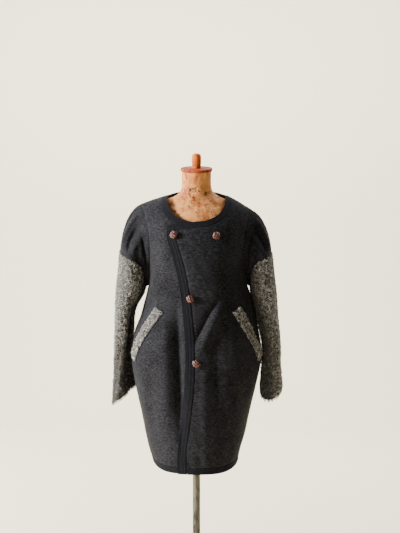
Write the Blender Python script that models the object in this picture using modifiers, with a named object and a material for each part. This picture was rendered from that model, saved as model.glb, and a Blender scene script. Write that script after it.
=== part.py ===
"""Collarless wool jacket with looped-yarn sleeves, hanging on a limbless dress form.

Units are metres and +Z is up. The jacket faces -Y, the wearer's right is at -X,
and the pole of the stand rises from the origin, on the floor. The cloth panels
share one body surface, so that their edges meet at seams of a constant gap.
"""

import math

import bpy
import numpy as np
from mathutils import Vector

# Cloth and seams
CLOTH = 0.0025
LOOPED_CLOTH = 0.0030
GAP = 0.0003
SEAM_HALF = 0.0003
SLEEVE_SEAM = 0.0006
BAND_RISE = 0.0006
LAP_RISE = CLOTH + BAND_RISE + 0.0008
UNDERLAP_SINK = 0.0050

# Body of the jacket, outside sizes of level cuts
TORSO_HEIGHT, TORSO_RIGHT, TORSO_LEFT, TORSO_FRONT, TORSO_BACK = np.transpose(
    [
        # height, right half, left half, front depth, back depth
        (0.440, 0.136, 0.136, 0.134, 0.128),
        (0.480, 0.149, 0.141, 0.140, 0.134),
        (0.518, 0.161, 0.150, 0.144, 0.138),
        (0.560, 0.171, 0.163, 0.147, 0.141),
        (0.640, 0.187, 0.181, 0.151, 0.145),
        (0.715, 0.204, 0.199, 0.152, 0.146),
        (0.770, 0.214, 0.212, 0.151, 0.144),
        (0.830, 0.220, 0.2215, 0.150, 0.141),
        (0.915, 0.205, 0.208, 0.146, 0.133),
        (0.960, 0.187, 0.200, 0.142, 0.126),
        (1.010, 0.175, 0.190, 0.139, 0.121),
        (1.065, 0.162, 0.172, 0.137, 0.118),
    ]
)
SQUARENESS = 0.02
UNDERARM = 1.065

# Shoulders: the front and back arch from the underarm level over to the shoulder seam
ARCH = 0.25
ARMHOLE_TURN, ARMHOLE_ANGLE, ARMHOLE_RIGHT, ARMHOLE_LEFT = np.transpose(
    [
        # share of the arch, degrees from the front, right half width, left half width
        (0.0, 90.0, 0.162, 0.172),
        (0.1, 78.0, 0.159, 0.164),
        (0.2, 68.0, 0.157, 0.160),
        (0.3, 62.0, 0.157, 0.158),
        (0.4, 60.0, 0.160, 0.160),
        (0.5, 60.5, 0.165, 0.165),
        (0.7, 64.0, 0.179, 0.179),
        (0.85, 67.0, 0.188, 0.188),
        (1.0, 70.0, 0.193, 0.193),
    ]
)
SHOULDER_TOP = 1.362
SHOULDER_DROP_RIGHT = 0.42
SHOULDER_DROP_LEFT = 0.60
SHOULDER_SOFTNESS = 0.020
SHOULDER_TIP = 0.193
NAPE_RISE = 0.050
BACK_ARCH_SQUARENESS = 0.05

# Neckline: half width at the shoulder, and how far short of the shoulder line it stops
NECK_HALF = 0.098
BINDING_WIDTH = 0.020
NECK_DROP = math.radians(46.9)
NECK_DROP_AT_SEAM = math.radians(51.6)
LAP_DROP = math.radians(3.0)
NAPE_DROP = math.radians(30.0)
NAPE_DROP_AT_SEAM = math.radians(36.4)

# Front edge of the overlapping left front
EDGE_HEIGHT, EDGE_ACROSS = np.transpose(
    [
        (0.430, -0.058),
        (0.466, -0.059),
        (0.525, -0.060),
        (0.562, -0.056),
        (0.610, -0.049),
        (0.664, -0.043),
        (0.710, -0.0375),
        (0.770, -0.034),
        (0.831, -0.033),
        (0.893, -0.035),
        (0.961, -0.041),
        (1.037, -0.050),
        (1.088, -0.059),
        (1.131, -0.069),
        (1.174, -0.081),
        (1.215, -0.094),
        (1.256, -0.096),
        (1.300, -0.096),
    ]
)
FRONT_BAND = 0.029
LAP_CORNER = -0.096
BAND_TOP = LAP_CORNER + FRONT_BAND * np.array([0.0, 0.5, 1.0])
HEM = 0.455
HEM_SIDE_RISE = 0.022
HEM_BAND = 0.021

# Folds pressed into the body: centre line, half width, depth (a ridge is negative)
FOLDS = [
    # x0, z0, x1, z1, half width, depth
    (-0.074, 0.980, -0.052, 0.640, 0.020, 0.010),
    (0.060, 1.005, -0.004, 0.880, 0.016, 0.005),
    (0.078, 1.000, 0.010, 0.840, 0.018, -0.005),
    (0.060, 0.900, 0.075, 0.560, 0.022, 0.005),
    (-0.120, 0.880, -0.100, 0.560, 0.025, -0.004),
]

# Sleeves: level cuts of the outside, and the heights of the joining seam and the cuff
SLEEVE_RIGHT = np.array(
    [
        # height, outer edge, inner edge, centre forward, half depth
        (0.640, 0.2895, 0.2020, 0.052, 0.050),
        (0.700, 0.2860, 0.2070, 0.049, 0.051),
        (0.754, 0.2820, 0.2150, 0.045, 0.055),
        (0.830, 0.2790, 0.2215, 0.034, 0.060),
        (0.920, 0.2760, 0.2110, 0.018, 0.065),
        (0.980, 0.2745, 0.2020, 0.012, 0.068),
        (1.048, 0.2720, 0.1760, 0.007, 0.070),
        (1.100, 0.2665, 0.1720, 0.005, 0.070),
        (1.190, 0.2590, 0.1780, 0.004, 0.070),
    ]
)
SLEEVE_LEFT = np.array(
    [
        (0.640, 0.2895, 0.2170, 0.006, 0.050),
        (0.733, 0.2890, 0.2190, 0.006, 0.055),
        (0.785, 0.2835, 0.2230, 0.005, 0.058),
        (0.863, 0.2830, 0.2262, 0.004, 0.062),
        (0.947, 0.2755, 0.2130, 0.001, 0.066),
        (1.000, 0.2720, 0.2010, 0.000, 0.068),
        (1.045, 0.2690, 0.1880, 0.000, 0.070),
        (1.100, 0.2625, 0.1820, 0.000, 0.070),
        (1.190, 0.2540, 0.1800, 0.000, 0.070),
    ]
)
SEAM_ANGLE = np.radians([0, 45, 90, 130, 155, 180, 205, 230, 270, 315, 360])
SEAM_RIGHT = [1.183, 1.162, 1.146, 1.124, 1.092, 1.050, 1.088, 1.116, 1.140, 1.160, 1.183]
SEAM_LEFT = [1.174, 1.158, 1.146, 1.128, 1.098, 1.052, 1.092, 1.118, 1.140, 1.158, 1.174]
CUFF_RIGHT = (0.686, -0.028, 0.000)
CUFF_LEFT = (0.7115, 0.0145, -0.030)
SHOULDER_FALL = Vector((0.85, 0.30, -0.50))

# Pocket welts on the front panels: degrees and height of both ends, then the width
# and how far each metre of it turns round the body and rises
WELT_START = (40.0, 0.985)
WELT_END = (70.5, 0.822)
WELT_WIDTH = 0.040
WELT_TURN = 5.17
WELT_RISE = 0.489
WELT_LIFT_RIGHT = 0.0013
WELT_LIFT_LEFT = 0.0006

# Knotted buttons: place across, height, lift of the shank off the panel's outer face
BUTTONS = {
    "button_1": (-0.072, 1.226, 0.00085),
    "button_2": (0.064, 1.223, 0.00020),
    "button_3": (-0.019, 1.020, 0.00100),
    "button_4": (0.000, 0.814, 0.00055),
}
BUTTON_RADIUS = 0.0130
BUTTON_HEIGHT = 0.0095
SHANK_HEIGHT = 0.0030

# Dress form: level cuts from the flat underside up to the neck
FORM_CUTS = np.array(
    [
        # height, half width, front, back, centre forward, squareness, lean of the cut
        (0.740, 0.150, 0.096, 0.100, 0.000, 0.00, 0.00),
        (0.750, 0.158, 0.104, 0.108, 0.000, 0.00, 0.00),
        (0.790, 0.158, 0.106, 0.112, 0.000, 0.00, 0.00),
        (0.850, 0.140, 0.098, 0.098, 0.000, 0.00, 0.00),
        (0.950, 0.113, 0.086, 0.076, 0.000, 0.00, 0.00),
        (1.000, 0.114, 0.092, 0.076, 0.000, 0.00, 0.00),
        (1.060, 0.128, 0.108, 0.082, 0.000, 0.00, 0.00),
        (1.130, 0.140, 0.115, 0.090, 0.000, 0.00, 0.00),
        (1.200, 0.149, 0.106, 0.092, 0.000, 0.00, 0.00),
        (1.250, 0.158, 0.092, 0.088, 0.000, 0.00, 0.00),
        (1.290, 0.166, 0.080, 0.080, 0.000, -0.02, 0.00),
        (1.314, 0.168, 0.070, 0.072, 0.000, -0.04, 0.00),
        (1.327, 0.161, 0.064, 0.067, 0.000, -0.06, 0.00),
        (1.339, 0.1430, 0.059, 0.063, 0.000, -0.06, 0.00),
        (1.352, 0.1180, 0.054, 0.058, 0.000, -0.06, 0.00),
        (1.3585, 0.0960, 0.0515, 0.0555, 0.000, -0.05, 0.00),
        (1.365, 0.0770, 0.0500, 0.0525, 0.000, -0.03, 0.00),
        (1.375, 0.0600, 0.0490, 0.0500, -0.001, 0.00, 0.00),
        (1.386, 0.0505, 0.0480, 0.0480, -0.003, 0.00, 0.03),
        (1.405, 0.0475, 0.0470, 0.0470, -0.007, 0.00, 0.09),
        (1.428, 0.0475, 0.0470, 0.0470, -0.013, 0.00, 0.18),
        (1.447, 0.0475, 0.0470, 0.0470, -0.018, 0.00, 0.268),
    ]
)
NECK_TILT = math.radians(15.0)
CAP_CENTRE = Vector((0.0, -0.0196, 1.4521))
CAP_RADIUS = 0.054
CAP_THICKNESS = 0.010

# Stand
POLE_RADIUS = 0.0125
PLATE_RADIUS = 0.170
PLATE_HEIGHT = 0.012
HUB_HEIGHT = 0.050
SOCKET_TOP = 0.7397
SOCKET_HEIGHT = 0.070

# Samples
SKIRT_ROWS = np.linspace(0.0, 1.0, 15)
ARCH_ROWS = np.linspace(0.0, 1.0, 12)[1:]
SLEEVE_ROWS = np.linspace(0.0, 1.0, 10)
UPPER_ROWS = np.linspace(0.0, 1.0, 6)
RING = np.radians(np.linspace(180.0, 540.0, 23))
FRONT_NECK_SHARES = np.array([0.97, 0.91, 0.83, 0.74, 0.62, 0.50, 0.385, 0.27, 0.155, 0.0])
BACK_NECK_SHARES = np.array([1.0, 0.95, 0.85, 0.72, 0.58, 0.44, 0.30, 0.15, 0.0])
SMALL = 1e-5

COLLECTION = "wool_jacket"


def linear(colour):
    """Turn screen colour values of 0 to 255 into linear ones."""
    return [((c / 255 + 0.055) / 1.055) ** 2.4 if c > 10 else c / 255 / 12.92 for c in colour]


def make_material(name, colour, roughness, metallic=0.0):
    """A Principled material from a screen colour."""
    material = bpy.data.materials.new(name)
    material.use_nodes = True
    shader = material.node_tree.nodes["Principled BSDF"]
    shader.inputs["Base Color"].default_value = (*linear(colour), 1.0)
    shader.inputs["Roughness"].default_value = roughness
    shader.inputs["Metallic"].default_value = metallic
    material.diffuse_color = (*linear(colour), 1.0)
    return material


def curve_through(values, knots, levels):
    """Cubic curve through the levels at the knots, with slopes taken from the neighbours."""
    slopes = np.gradient(levels, knots)
    k = np.clip(np.searchsorted(knots, values, side="right") - 1, 0, len(knots) - 2)
    span = knots[k + 1] - knots[k]
    f = (values - knots[k]) / span
    rise = levels[k + 1] - levels[k]
    start = slopes[k] * span
    end = slopes[k + 1] * span
    return levels[k] + f * start + f**2 * (3 * rise - 2 * start - end) + f**3 * (start + end - 2 * rise)


def smooth_step(values, low, high):
    """0 below low, 1 above high, and a soft rise between them."""
    f = np.clip((values - low) / (high - low), 0.0, 1.0)
    return f * f * (3 - 2 * f)


def cut_outline(angle, squareness):
    """Unit outline of a level cut: across and backward for an angle from the front."""
    across = (np.sin(angle) + squareness * np.sin(3 * angle)) / (1 - squareness)
    backward = -(np.cos(angle) - squareness * np.cos(3 * angle)) / (1 - squareness)
    return across, backward


UNIT_ANGLE = np.linspace(-math.pi / 2, math.pi / 2, 721)
UNIT_ACROSS = cut_outline(UNIT_ANGLE, SQUARENESS)[0]


def arch_turn(rise):
    """Angle turned over the shoulder at a rise, 0 at and below the underarm level."""
    return np.maximum(rise - UNDERARM, 0.0) / ARCH


def armhole_angle(turn):
    """Angle from the front, or from the back, where a turn of the arch meets the armhole."""
    share = turn / (math.pi / 2)
    return np.radians(curve_through(share, ARMHOLE_TURN, ARMHOLE_ANGLE))


def half_width(rise, left):
    """Outside half width of the body on one side, where the cut would reach the side."""
    skirt = np.where(
        left,
        curve_through(np.minimum(rise, UNDERARM), TORSO_HEIGHT, TORSO_LEFT),
        curve_through(np.minimum(rise, UNDERARM), TORSO_HEIGHT, TORSO_RIGHT),
    )
    turn = arch_turn(rise)
    share = turn / (math.pi / 2)
    reach = np.where(
        left,
        curve_through(share, ARMHOLE_TURN, ARMHOLE_LEFT),
        curve_through(share, ARMHOLE_TURN, ARMHOLE_RIGHT),
    )
    arch = reach / cut_outline(armhole_angle(turn), SQUARENESS)[0]
    return np.where(rise > UNDERARM, arch, skirt)


def shoulder_line(x, back):
    """Outside height of the shoulder line across the body; the back rises to the nape."""
    beyond = np.maximum(np.abs(x) - NECK_HALF, 0.0)
    drop = np.where(x > 0, SHOULDER_DROP_LEFT, SHOULDER_DROP_RIGHT)
    inside = np.maximum(1 - (x / NECK_HALF) ** 2, 0.0)
    level = SHOULDER_TOP - drop * beyond**2 / (beyond + SHOULDER_SOFTNESS)
    return level + np.where(back, NAPE_RISE * inside**2, 0.0)


def fold_depth(x, z):
    """How far the folds of the front press into the body at a place."""
    depth = np.zeros_like(x)
    for x0, z0, x1, z1, spread, size in FOLDS:
        length = math.hypot(x1 - x0, z1 - z0)
        along = ((x - x0) * (x1 - x0) + (z - z0) * (z1 - z0)) / length**2
        away = ((x - x0) * (z1 - z0) - (z - z0) * (x1 - x0)) / length
        ends = smooth_step(along, -0.15, 0.25) * smooth_step(1 - along, -0.15, 0.30)
        depth += size * ends * np.exp(-((away / spread) ** 2))
    return depth


def body(angle, rise):
    """Inner face of the body. The angle is 0 at the front and 90 degrees at the left side.

    Up to the underarm level the rise is the height. Above it, each ARCH metres of rise
    turn the cloth by one radian over the shoulder.
    """
    angle, rise = np.broadcast_arrays(np.asarray(angle, float), np.asarray(rise, float))
    across, backward = cut_outline(angle, SQUARENESS)
    back = backward > 0
    low = np.minimum(rise, UNDERARM)
    turn = arch_turn(rise)
    x = across * (half_width(rise, across > 0) - CLOTH)
    depth = np.where(
        back,
        curve_through(low, TORSO_HEIGHT, TORSO_BACK),
        curve_through(low, TORSO_HEIGHT, TORSO_FRONT),
    )
    e = np.where(back, BACK_ARCH_SQUARENESS, 0.0)
    y = backward * (depth - CLOTH) * (np.cos(turn) - e * np.cos(3 * turn)) / (1 - e)
    arched = (np.sin(turn) + e * np.sin(3 * turn)) / (1 - e)
    z = low + (shoulder_line(x, back) - CLOTH - UNDERARM) * arched
    inward = np.where(back, 0.0, fold_depth(x, z))
    return np.stack([x - inward * np.sin(angle), y + inward * np.cos(angle), z], axis=-1)


def unit(vectors):
    """Vectors brought to length one."""
    return vectors / np.linalg.norm(vectors, axis=-1, keepdims=True)


def surface_normals(surface, u, v):
    """Unit normals of a surface of two values, from small steps both ways."""
    along_u = surface(u + SMALL, v) - surface(u - SMALL, v)
    along_v = surface(u, v + SMALL) - surface(u, v - SMALL)
    return unit(np.cross(along_u, along_v))


def front_angle(x, rise):
    """Angle of the front at which the outside reaches across to x."""
    return np.interp(x / half_width(rise, x > 0), UNIT_ACROSS, UNIT_ANGLE)


def front_stop(x, side, at_seam=True):
    """Turn of the arch where a front ends, at the binding's seam or at the neckline.

    The lap continues past the middle, a little lower, on the side away from the front's own.
    """
    own = x * side
    half = NECK_HALF + (BINDING_WIDTH if at_seam else 0.0)
    drop = NECK_DROP_AT_SEAM if at_seam else NECK_DROP
    inside = np.clip(1 - (own / half) ** 2, 0.0, 1.0)
    lap = drop + LAP_DROP * np.minimum(-own / NECK_HALF, 1.0)
    return math.pi / 2 - np.where(own > 0, drop * inside**0.2, lap)


def back_stop(x, at_seam=True):
    """Turn of the arch where the back ends, at the binding's seam or at the neckline."""
    half = NECK_HALF + (BINDING_WIDTH if at_seam else 0.0)
    drop = NAPE_DROP_AT_SEAM if at_seam else NAPE_DROP
    inside = np.clip(1 - (x / half) ** 2, 0.0, 1.0)
    return math.pi / 2 - drop * inside**0.75


def hem_height(angle):
    """Height of the lower edge, a little higher at the sides."""
    return HEM + HEM_SIDE_RISE * np.sin(angle) ** 6


def lap_edge(height, side):
    """Place across of a front's free edge; the right front mirrors the left one."""
    return side * curve_through(height, EDGE_HEIGHT, EDGE_ACROSS)


def lap_offset(points, side):
    """Distance of a front from the base surface: the left one stands off where it overlaps.

    The right one sinks a little where it is hidden.
    """
    x, z = points[..., 0], points[..., 2]
    if side < 0:
        hidden = smooth_step(x - lap_edge(np.minimum(z, 1.29), 1), 0.012, 0.035)
        return -UNDERLAP_SINK * hidden * (1 - smooth_step(z, 1.18, 1.23))
    covered = lap_edge(np.minimum(z, 1.29), -1)
    return LAP_RISE * (1 - smooth_step(x - covered, 0.004, 0.045)) * (1 - smooth_step(z, 1.275, 1.335))


def drawn_in(grid, distance):
    """Grid with its four borders moved inward over the surface, square to each border."""
    result = grid.copy()
    for axis in (0, 1):
        turned = np.moveaxis(result, axis, 0)
        source = np.moveaxis(grid, axis, 0)
        for edge, inner in ((0, 1), (-1, -2)):
            tangent = unit(np.gradient(source[edge], axis=0))
            inward = source[inner] - source[edge]
            inward -= tangent * (inward * tangent).sum(axis=-1, keepdims=True)
            turned[edge] += distance * unit(inward)
    return result


def add_object(name, mesh, material, smooth=True):
    """Object of a mesh in the jacket's collection."""
    mesh.materials.append(material)
    if smooth:
        mesh.shade_smooth()
        mesh.set_sharp_from_angle(angle=math.radians(40))
    created = bpy.data.objects.new(name, mesh)
    bpy.data.collections[COLLECTION].objects.link(created)
    return created


def close_wall(name, inner, outer, material):
    """Closed piece between an inner and an outer grid of points."""
    across = inner[1:, 1:] - inner[:-1, :-1]
    along = inner[:-1, 1:] - inner[1:, :-1]
    if (np.cross(across, along) * (outer - inner)[1:, 1:]).sum() < 0:
        inner, outer = inner[::-1], outer[::-1]
    columns, rows = inner.shape[:2]
    index = np.arange(columns * rows).reshape(columns, rows)
    far = index + columns * rows
    cells = np.stack([index[:-1, :-1], index[1:, :-1], index[1:, 1:], index[:-1, 1:]], axis=-1)
    faces = cells.reshape(-1, 4)[:, ::-1].tolist()
    faces += (cells + columns * rows).reshape(-1, 4).tolist()
    for near_edge, far_edge in (
        (index[:, 0], far[:, 0]),
        (index[-1, :], far[-1, :]),
        (index[::-1, -1], far[::-1, -1]),
        (index[0, ::-1], far[0, ::-1]),
    ):
        rim = np.stack([near_edge[:-1], near_edge[1:], far_edge[1:], far_edge[:-1]], axis=-1)
        faces += rim.tolist()
    mesh = bpy.data.meshes.new(name)
    mesh.from_pydata(np.concatenate([inner.reshape(-1, 3), outer.reshape(-1, 3)]).tolist(), [], faces)
    return add_object(name, mesh, material)


def cloth_wall(name, points, normals, material, thickness=CLOTH, offset=0.0, seam=SEAM_HALF):
    """Cloth piece on a grid of inner-face points, drawn in at its seams."""
    offset = np.broadcast_to(offset, points.shape[:-1])[..., None]
    drawn = drawn_in(points, seam)
    return close_wall(name, drawn + normals * offset, drawn + normals * (offset + thickness), material)


def sleeve_surface(side):
    """Inner face of a sleeve as a function of the angle round it and the height."""
    table = SLEEVE_LEFT if side > 0 else SLEEVE_RIGHT
    heights = table[:, 0]

    def surface(angle, height):
        angle, height = np.broadcast_arrays(angle, height)
        outer, inner, forward, depth = (curve_through(height, heights, table[:, k]) for k in range(1, 5))
        x = (outer + inner) / 2 + ((outer - inner) / 2 - LOOPED_CLOTH) * np.cos(angle)
        y = forward - (depth - LOOPED_CLOTH) * np.sin(angle)
        return np.stack([side * x, y, height], axis=-1)

    return surface


def seam_height(angle, side):
    """Height of the seam that joins the upper sleeve to the looped sleeve."""
    levels = np.array(SEAM_LEFT if side > 0 else SEAM_RIGHT)
    return curve_through(np.mod(angle, 2 * math.pi), SEAM_ANGLE, levels)


def cuff_height(angle, side):
    """Height of the cuff's edge."""
    level, outward, forward = CUFF_LEFT if side > 0 else CUFF_RIGHT
    return level + outward * np.cos(angle) + forward * np.sin(angle)


def armhole(angle, side):
    """Points of the armhole and their angle and rise; 0 is the shoulder and 180 the underarm."""
    angle = np.mod(angle, 2 * math.pi)
    turn = np.abs(math.pi - angle) / 2
    front = angle <= math.pi
    round_body = np.where(front, side * armhole_angle(turn), side * (math.pi - armhole_angle(turn)))
    rise = UNDERARM + ARCH * turn
    return body(round_body, rise), round_body, rise


def upper_surface(side):
    """Inner face of an upper sleeve, from the joining seam (0) up to the armhole (1)."""
    sleeve = sleeve_surface(side)

    def surface(angle, share):
        angle, share = np.broadcast_arrays(angle, share)
        start = armhole(angle, side)[0]
        height = seam_height(angle, side)
        end = sleeve(angle, height)
        length = np.linalg.norm(end - start, axis=-1)
        leave = np.stack(
            [
                side * SHOULDER_FALL.x * length,
                SHOULDER_FALL.y * np.sin(angle) * length,
                SHOULDER_FALL.z * length,
            ],
            axis=-1,
        )
        arrive = (sleeve(angle, height - SMALL) - end) / SMALL * length[..., None]
        f = 1 - share[..., None]
        rise = end - start
        return start + f * leave + f**2 * (3 * rise - 2 * leave - arrive) + f**3 * (leave + arrive - 2 * rise)

    return surface


def outward_normals(surface, u, v, side):
    """Normals of a sleeve's surface, pointing out of the sleeve."""
    return -side * surface_normals(surface, u, v)


def armhole_normals(angle, side):
    """Shared direction of the cut edges of the body and the upper sleeve at the armhole.

    It is lengthened as a mitre, so that both walls keep their thickness.
    """
    _, round_body, rise = armhole(angle, side)
    of_body = surface_normals(body, round_body, rise)
    of_sleeve = outward_normals(upper_surface(side), angle, np.full_like(angle, 0.98), side)
    middle = unit(of_body + of_sleeve)
    return middle / np.maximum((middle * of_body).sum(axis=-1, keepdims=True), 0.55)


def panel_grid(inner_edge, top, crossing, side, back=False):
    """Angles and rises of a panel's points, row by row from the hem band to the neck seam.

    The inner edge gives the angle of the first column at a rise, and the top lists the
    places across of the columns on the last row, the last one at the shoulder's tip. The
    crossing is the number of columns up to the middle of the neck. Over the arch the
    columns run straight from the underarm level to the last row, plus what the two side
    borders bend away from such a line.
    """
    top_turn = back_stop(top) if back else front_stop(top, side)
    top_angle = front_angle(top, UNDERARM + ARCH * top_turn)
    crowded = (top_angle - top_angle[0]) / (top_angle[-1] - top_angle[0])
    spread = np.linspace(crowded[crossing - 1] + 0.1, 1.0, len(top) - crossing)
    columns = np.concatenate([crowded[:crossing], spread])
    even = np.linspace(0.0, 1.0, len(top))
    angles, rises = [], []
    for share in SKIRT_ROWS:
        start = inner_edge(HEM + HEM_BAND + (UNDERARM - HEM - HEM_BAND) * share)
        angle = start + (side * math.pi / 2 - start) * columns
        bottom = hem_height(angle) + HEM_BAND
        angles.append(angle)
        rises.append(bottom + (UNDERARM - bottom) * share)
    low_angle = angles[-1]
    for share in ARCH_ROWS:
        rise = UNDERARM + ARCH * share * top_turn
        straight = low_angle + (top_angle - low_angle) * share
        inner_bend = inner_edge(rise[0]) - straight[0]
        outer_bend = side * armhole_angle(share * math.pi / 2) - straight[-1]
        angles.append(straight + (1 - even) * inner_bend + even**3 * outer_bend)
        rises.append(rise)
    return np.transpose(angles), np.transpose(rises)


def front_neck_across(half):
    """Places across of the samples round the front neck, for a half width at the shoulder."""
    return half * np.sqrt(1 - FRONT_NECK_SHARES**5)


def back_neck_across(half):
    """Places across of the samples from the nape to the shoulder."""
    return half * np.sqrt(1 - BACK_NECK_SHARES ** (1 / 0.75))


def lap_top(side, start, count):
    """Places across of a front's columns on its last row, from its start to the shoulder's tip."""
    half = NECK_HALF + BINDING_WIDTH
    crossing = np.linspace(start, 0.0, count)
    shoulder = np.linspace(half, SHOULDER_TIP, 6)[1:]
    return side * np.concatenate([crossing, front_neck_across(half), shoulder])


def angle_from_edge(side, inset):
    """The first column of a front piece: a distance in from the free edge."""

    def at(rise):
        turn = arch_turn(rise)
        height = np.minimum(rise, UNDERARM) + (SHOULDER_TOP - UNDERARM) * np.sin(turn)
        return front_angle(lap_edge(height, side) + side * inset, rise)

    return at


def rim_normals(angles, rises, side):
    """Normals of a panel, with the shared direction on its armhole edge."""
    normals = surface_normals(body, angles, rises)
    first = len(SKIRT_ROWS) - 1
    turn = arch_turn(rises[-1, first:])
    back = np.abs(angles[-1, first:]) > math.pi / 2
    ring = np.where(back, math.pi + 2 * turn, math.pi - 2 * turn)
    normals[-1, first:] = armhole_normals(ring, side)
    return normals


def make_fronts(wool, band):
    """Both front panels, their hem bands and the band down the left one's free edge."""
    for side, word, inset, count in ((-1, "right", 0.0, 7), (1, "left", FRONT_BAND, 5)):
        start = LAP_CORNER + inset
        angles, rises = panel_grid(angle_from_edge(side, inset), lap_top(side, start, count), count, side)
        points = body(angles, rises)
        offset = lap_offset(points, side)
        normals = rim_normals(angles, rises, side)
        cloth_wall(f"front_{word}", points, normals, wool, offset=offset)
        low = np.stack([hem_height(angles[:, 0]), hem_height(angles[:, 0]) + HEM_BAND], axis=-1)
        round_hem = np.repeat(angles[:, :1], 2, axis=1)
        points = body(round_hem, low)
        normals = surface_normals(body, round_hem, low)
        thickness = CLOTH + BAND_RISE * (side > 0)
        cloth_wall(f"hem_band_{word}", points, normals, band, thickness, lap_offset(points, side))
        if side > 0:
            make_front_band(angles[0], rises[0], band)


def make_front_band(inner_angles, rises, band):
    """Band down the free edge of the left front, from the neck binding to the hem."""
    rises = np.concatenate([[HEM], rises])
    inner_angles = np.concatenate([[angle_from_edge(1, FRONT_BAND)(HEM)], inner_angles])
    edge = angle_from_edge(1, 0.0)(rises)
    angles = np.stack([edge, (edge + inner_angles) / 2, inner_angles])
    rows = np.repeat(rises[None], 3, axis=0)
    rows[:, -1] = UNDERARM + ARCH * front_stop(BAND_TOP, 1)
    angles[:, -1] = front_angle(BAND_TOP, rows[:, -1])
    points = body(angles, rows)
    normals = surface_normals(body, angles, rows)
    cloth_wall("front_band", points, normals, band, CLOTH + BAND_RISE, lap_offset(points, 1))


def make_back(wool, band):
    """The back panel and its hem band."""
    half = NECK_HALF + BINDING_WIDTH
    shoulder = np.linspace(half, SHOULDER_TIP, 5)[1:]
    top = np.concatenate([back_neck_across(half), shoulder])
    halves = []
    for side in (-1, 1):
        angles, rises = panel_grid(lambda rise: 0.0, side * top, 1, side, back=True)
        halves.append((side * math.pi - angles, rises, rim_normals(side * math.pi - angles, rises, side)))
    right, left = halves
    angles = np.concatenate([left[0][::-1], right[0][1:] + 2 * math.pi])
    rises = np.concatenate([left[1][::-1], right[1][1:]])
    normals = np.concatenate([left[2][::-1], right[2][1:]])
    cloth_wall("back", body(angles, rises), normals, wool)
    low = np.stack([hem_height(angles[:, 0]), hem_height(angles[:, 0]) + HEM_BAND], axis=-1)
    round_hem = np.repeat(angles[:, :1], 2, axis=1)
    normals = surface_normals(body, round_hem, low)
    cloth_wall("hem_band_back", body(round_hem, low), normals, band, CLOTH + BAND_RISE)


def make_neck_bindings(band):
    """Bindings of both fronts and of the back, between the neck seam and the neckline."""
    seam_half = NECK_HALF + BINDING_WIDTH
    for side, word in ((-1, "right"), (1, "left")):
        across = []
        for half in (seam_half, NECK_HALF):
            crossing = np.concatenate([BAND_TOP, np.linspace(BAND_TOP[-1], 0.0, 5)[1:]])
            across.append(side * np.concatenate([crossing, front_neck_across(half)]))
        seam, neck = across
        turns = np.stack([front_stop(seam, side), front_stop(neck, side, at_seam=False)], axis=-1)
        rises = UNDERARM + ARCH * turns
        angles = front_angle(np.stack([seam, neck], axis=-1), rises)
        points = body(angles, rises)
        normals = surface_normals(body, angles, rises)
        offset = lap_offset(points, side)
        cloth_wall(f"neck_binding_{word}", points, normals, band, CLOTH + BAND_RISE, offset)
    seam, neck = (
        np.concatenate([-back_neck_across(half)[:0:-1], back_neck_across(half)])
        for half in (seam_half, NECK_HALF)
    )
    turns = np.stack([back_stop(seam), back_stop(neck, at_seam=False)], axis=-1)
    rises = UNDERARM + ARCH * turns
    angles = math.pi - front_angle(np.stack([seam, neck], axis=-1), rises)
    normals = surface_normals(body, angles, rises)
    cloth_wall("neck_binding_back", body(angles, rises), normals, band, CLOTH + BAND_RISE)


def make_sleeves(wool, looped):
    """Upper sleeves of wool, and the looped sleeves below them in a front and a back half."""
    for side, word in ((-1, "right"), (1, "left")):
        surface = upper_surface(side)
        angles, shares = np.meshgrid(RING, UPPER_ROWS, indexing="ij")
        normals = outward_normals(surface, angles, np.clip(shares, 0.0, 0.98), side)
        normals[:, -1] = armhole_normals(RING, side)
        normals[-1] = normals[0] = (normals[0] + normals[-1]) / 2
        cloth_wall(f"upper_sleeve_{word}", surface(angles, shares), normals, wool, seam=SLEEVE_SEAM)
        surface = sleeve_surface(side)
        for half, first in (("front", 0.0), ("back", math.pi)):
            round_half = np.linspace(first, first + math.pi, 12)
            angles, shares = np.meshgrid(round_half, SLEEVE_ROWS, indexing="ij")
            bottom = cuff_height(angles, side)
            top = seam_height(np.minimum(angles, 2 * math.pi - SMALL), side)
            heights = bottom + (top - bottom) * shares
            normals = outward_normals(surface, angles, heights, side)
            cloth_wall(f"sleeve_{word}_{half}", surface(angles, heights), normals, looped, LOOPED_CLOTH)


def make_welts(looped):
    """Slanted pocket welts, laid on the fronts over the hips."""
    for side, word, lift in ((-1, "right", WELT_LIFT_RIGHT), (1, "left", WELT_LIFT_LEFT)):
        along, aside = np.meshgrid(np.linspace(0, 1, 11), np.linspace(-0.5, 0.5, 4), indexing="ij")
        start, end = WELT_START, WELT_END
        angles = np.radians(start[0] + (end[0] - start[0]) * along) + WELT_TURN * WELT_WIDTH * aside
        rises = start[1] + (end[1] - start[1]) * along + WELT_RISE * WELT_WIDTH * aside
        points = body(side * angles, rises)
        normals = surface_normals(body, side * angles, rises)
        cloth_wall(f"welt_{word}", points, normals, looped, LOOPED_CLOTH, CLOTH + lift)


def turned(name, profile, material, steps, place=(0.0, 0.0, 0.0), lean=(0.0, 0.0, 0.0)):
    """Piece turned about its own Z axis from radius and height pairs, listed top to bottom."""
    mesh = bpy.data.meshes.new(name)
    edges = [(k, k + 1) for k in range(len(profile) - 1)]
    mesh.from_pydata([(radius, 0.0, height) for radius, height in profile], edges, [])
    piece = add_object(name, mesh, material, smooth=False)
    screw = piece.modifiers.new("Turn", "SCREW")
    screw.axis = "Z"
    screw.angle = 2 * math.pi
    screw.steps = screw.render_steps = steps
    screw.use_merge_vertices = True
    screw.merge_threshold = 0.0001
    screw.use_smooth_shade = True
    piece.location = place
    piece.rotation_euler = lean
    return piece


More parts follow.
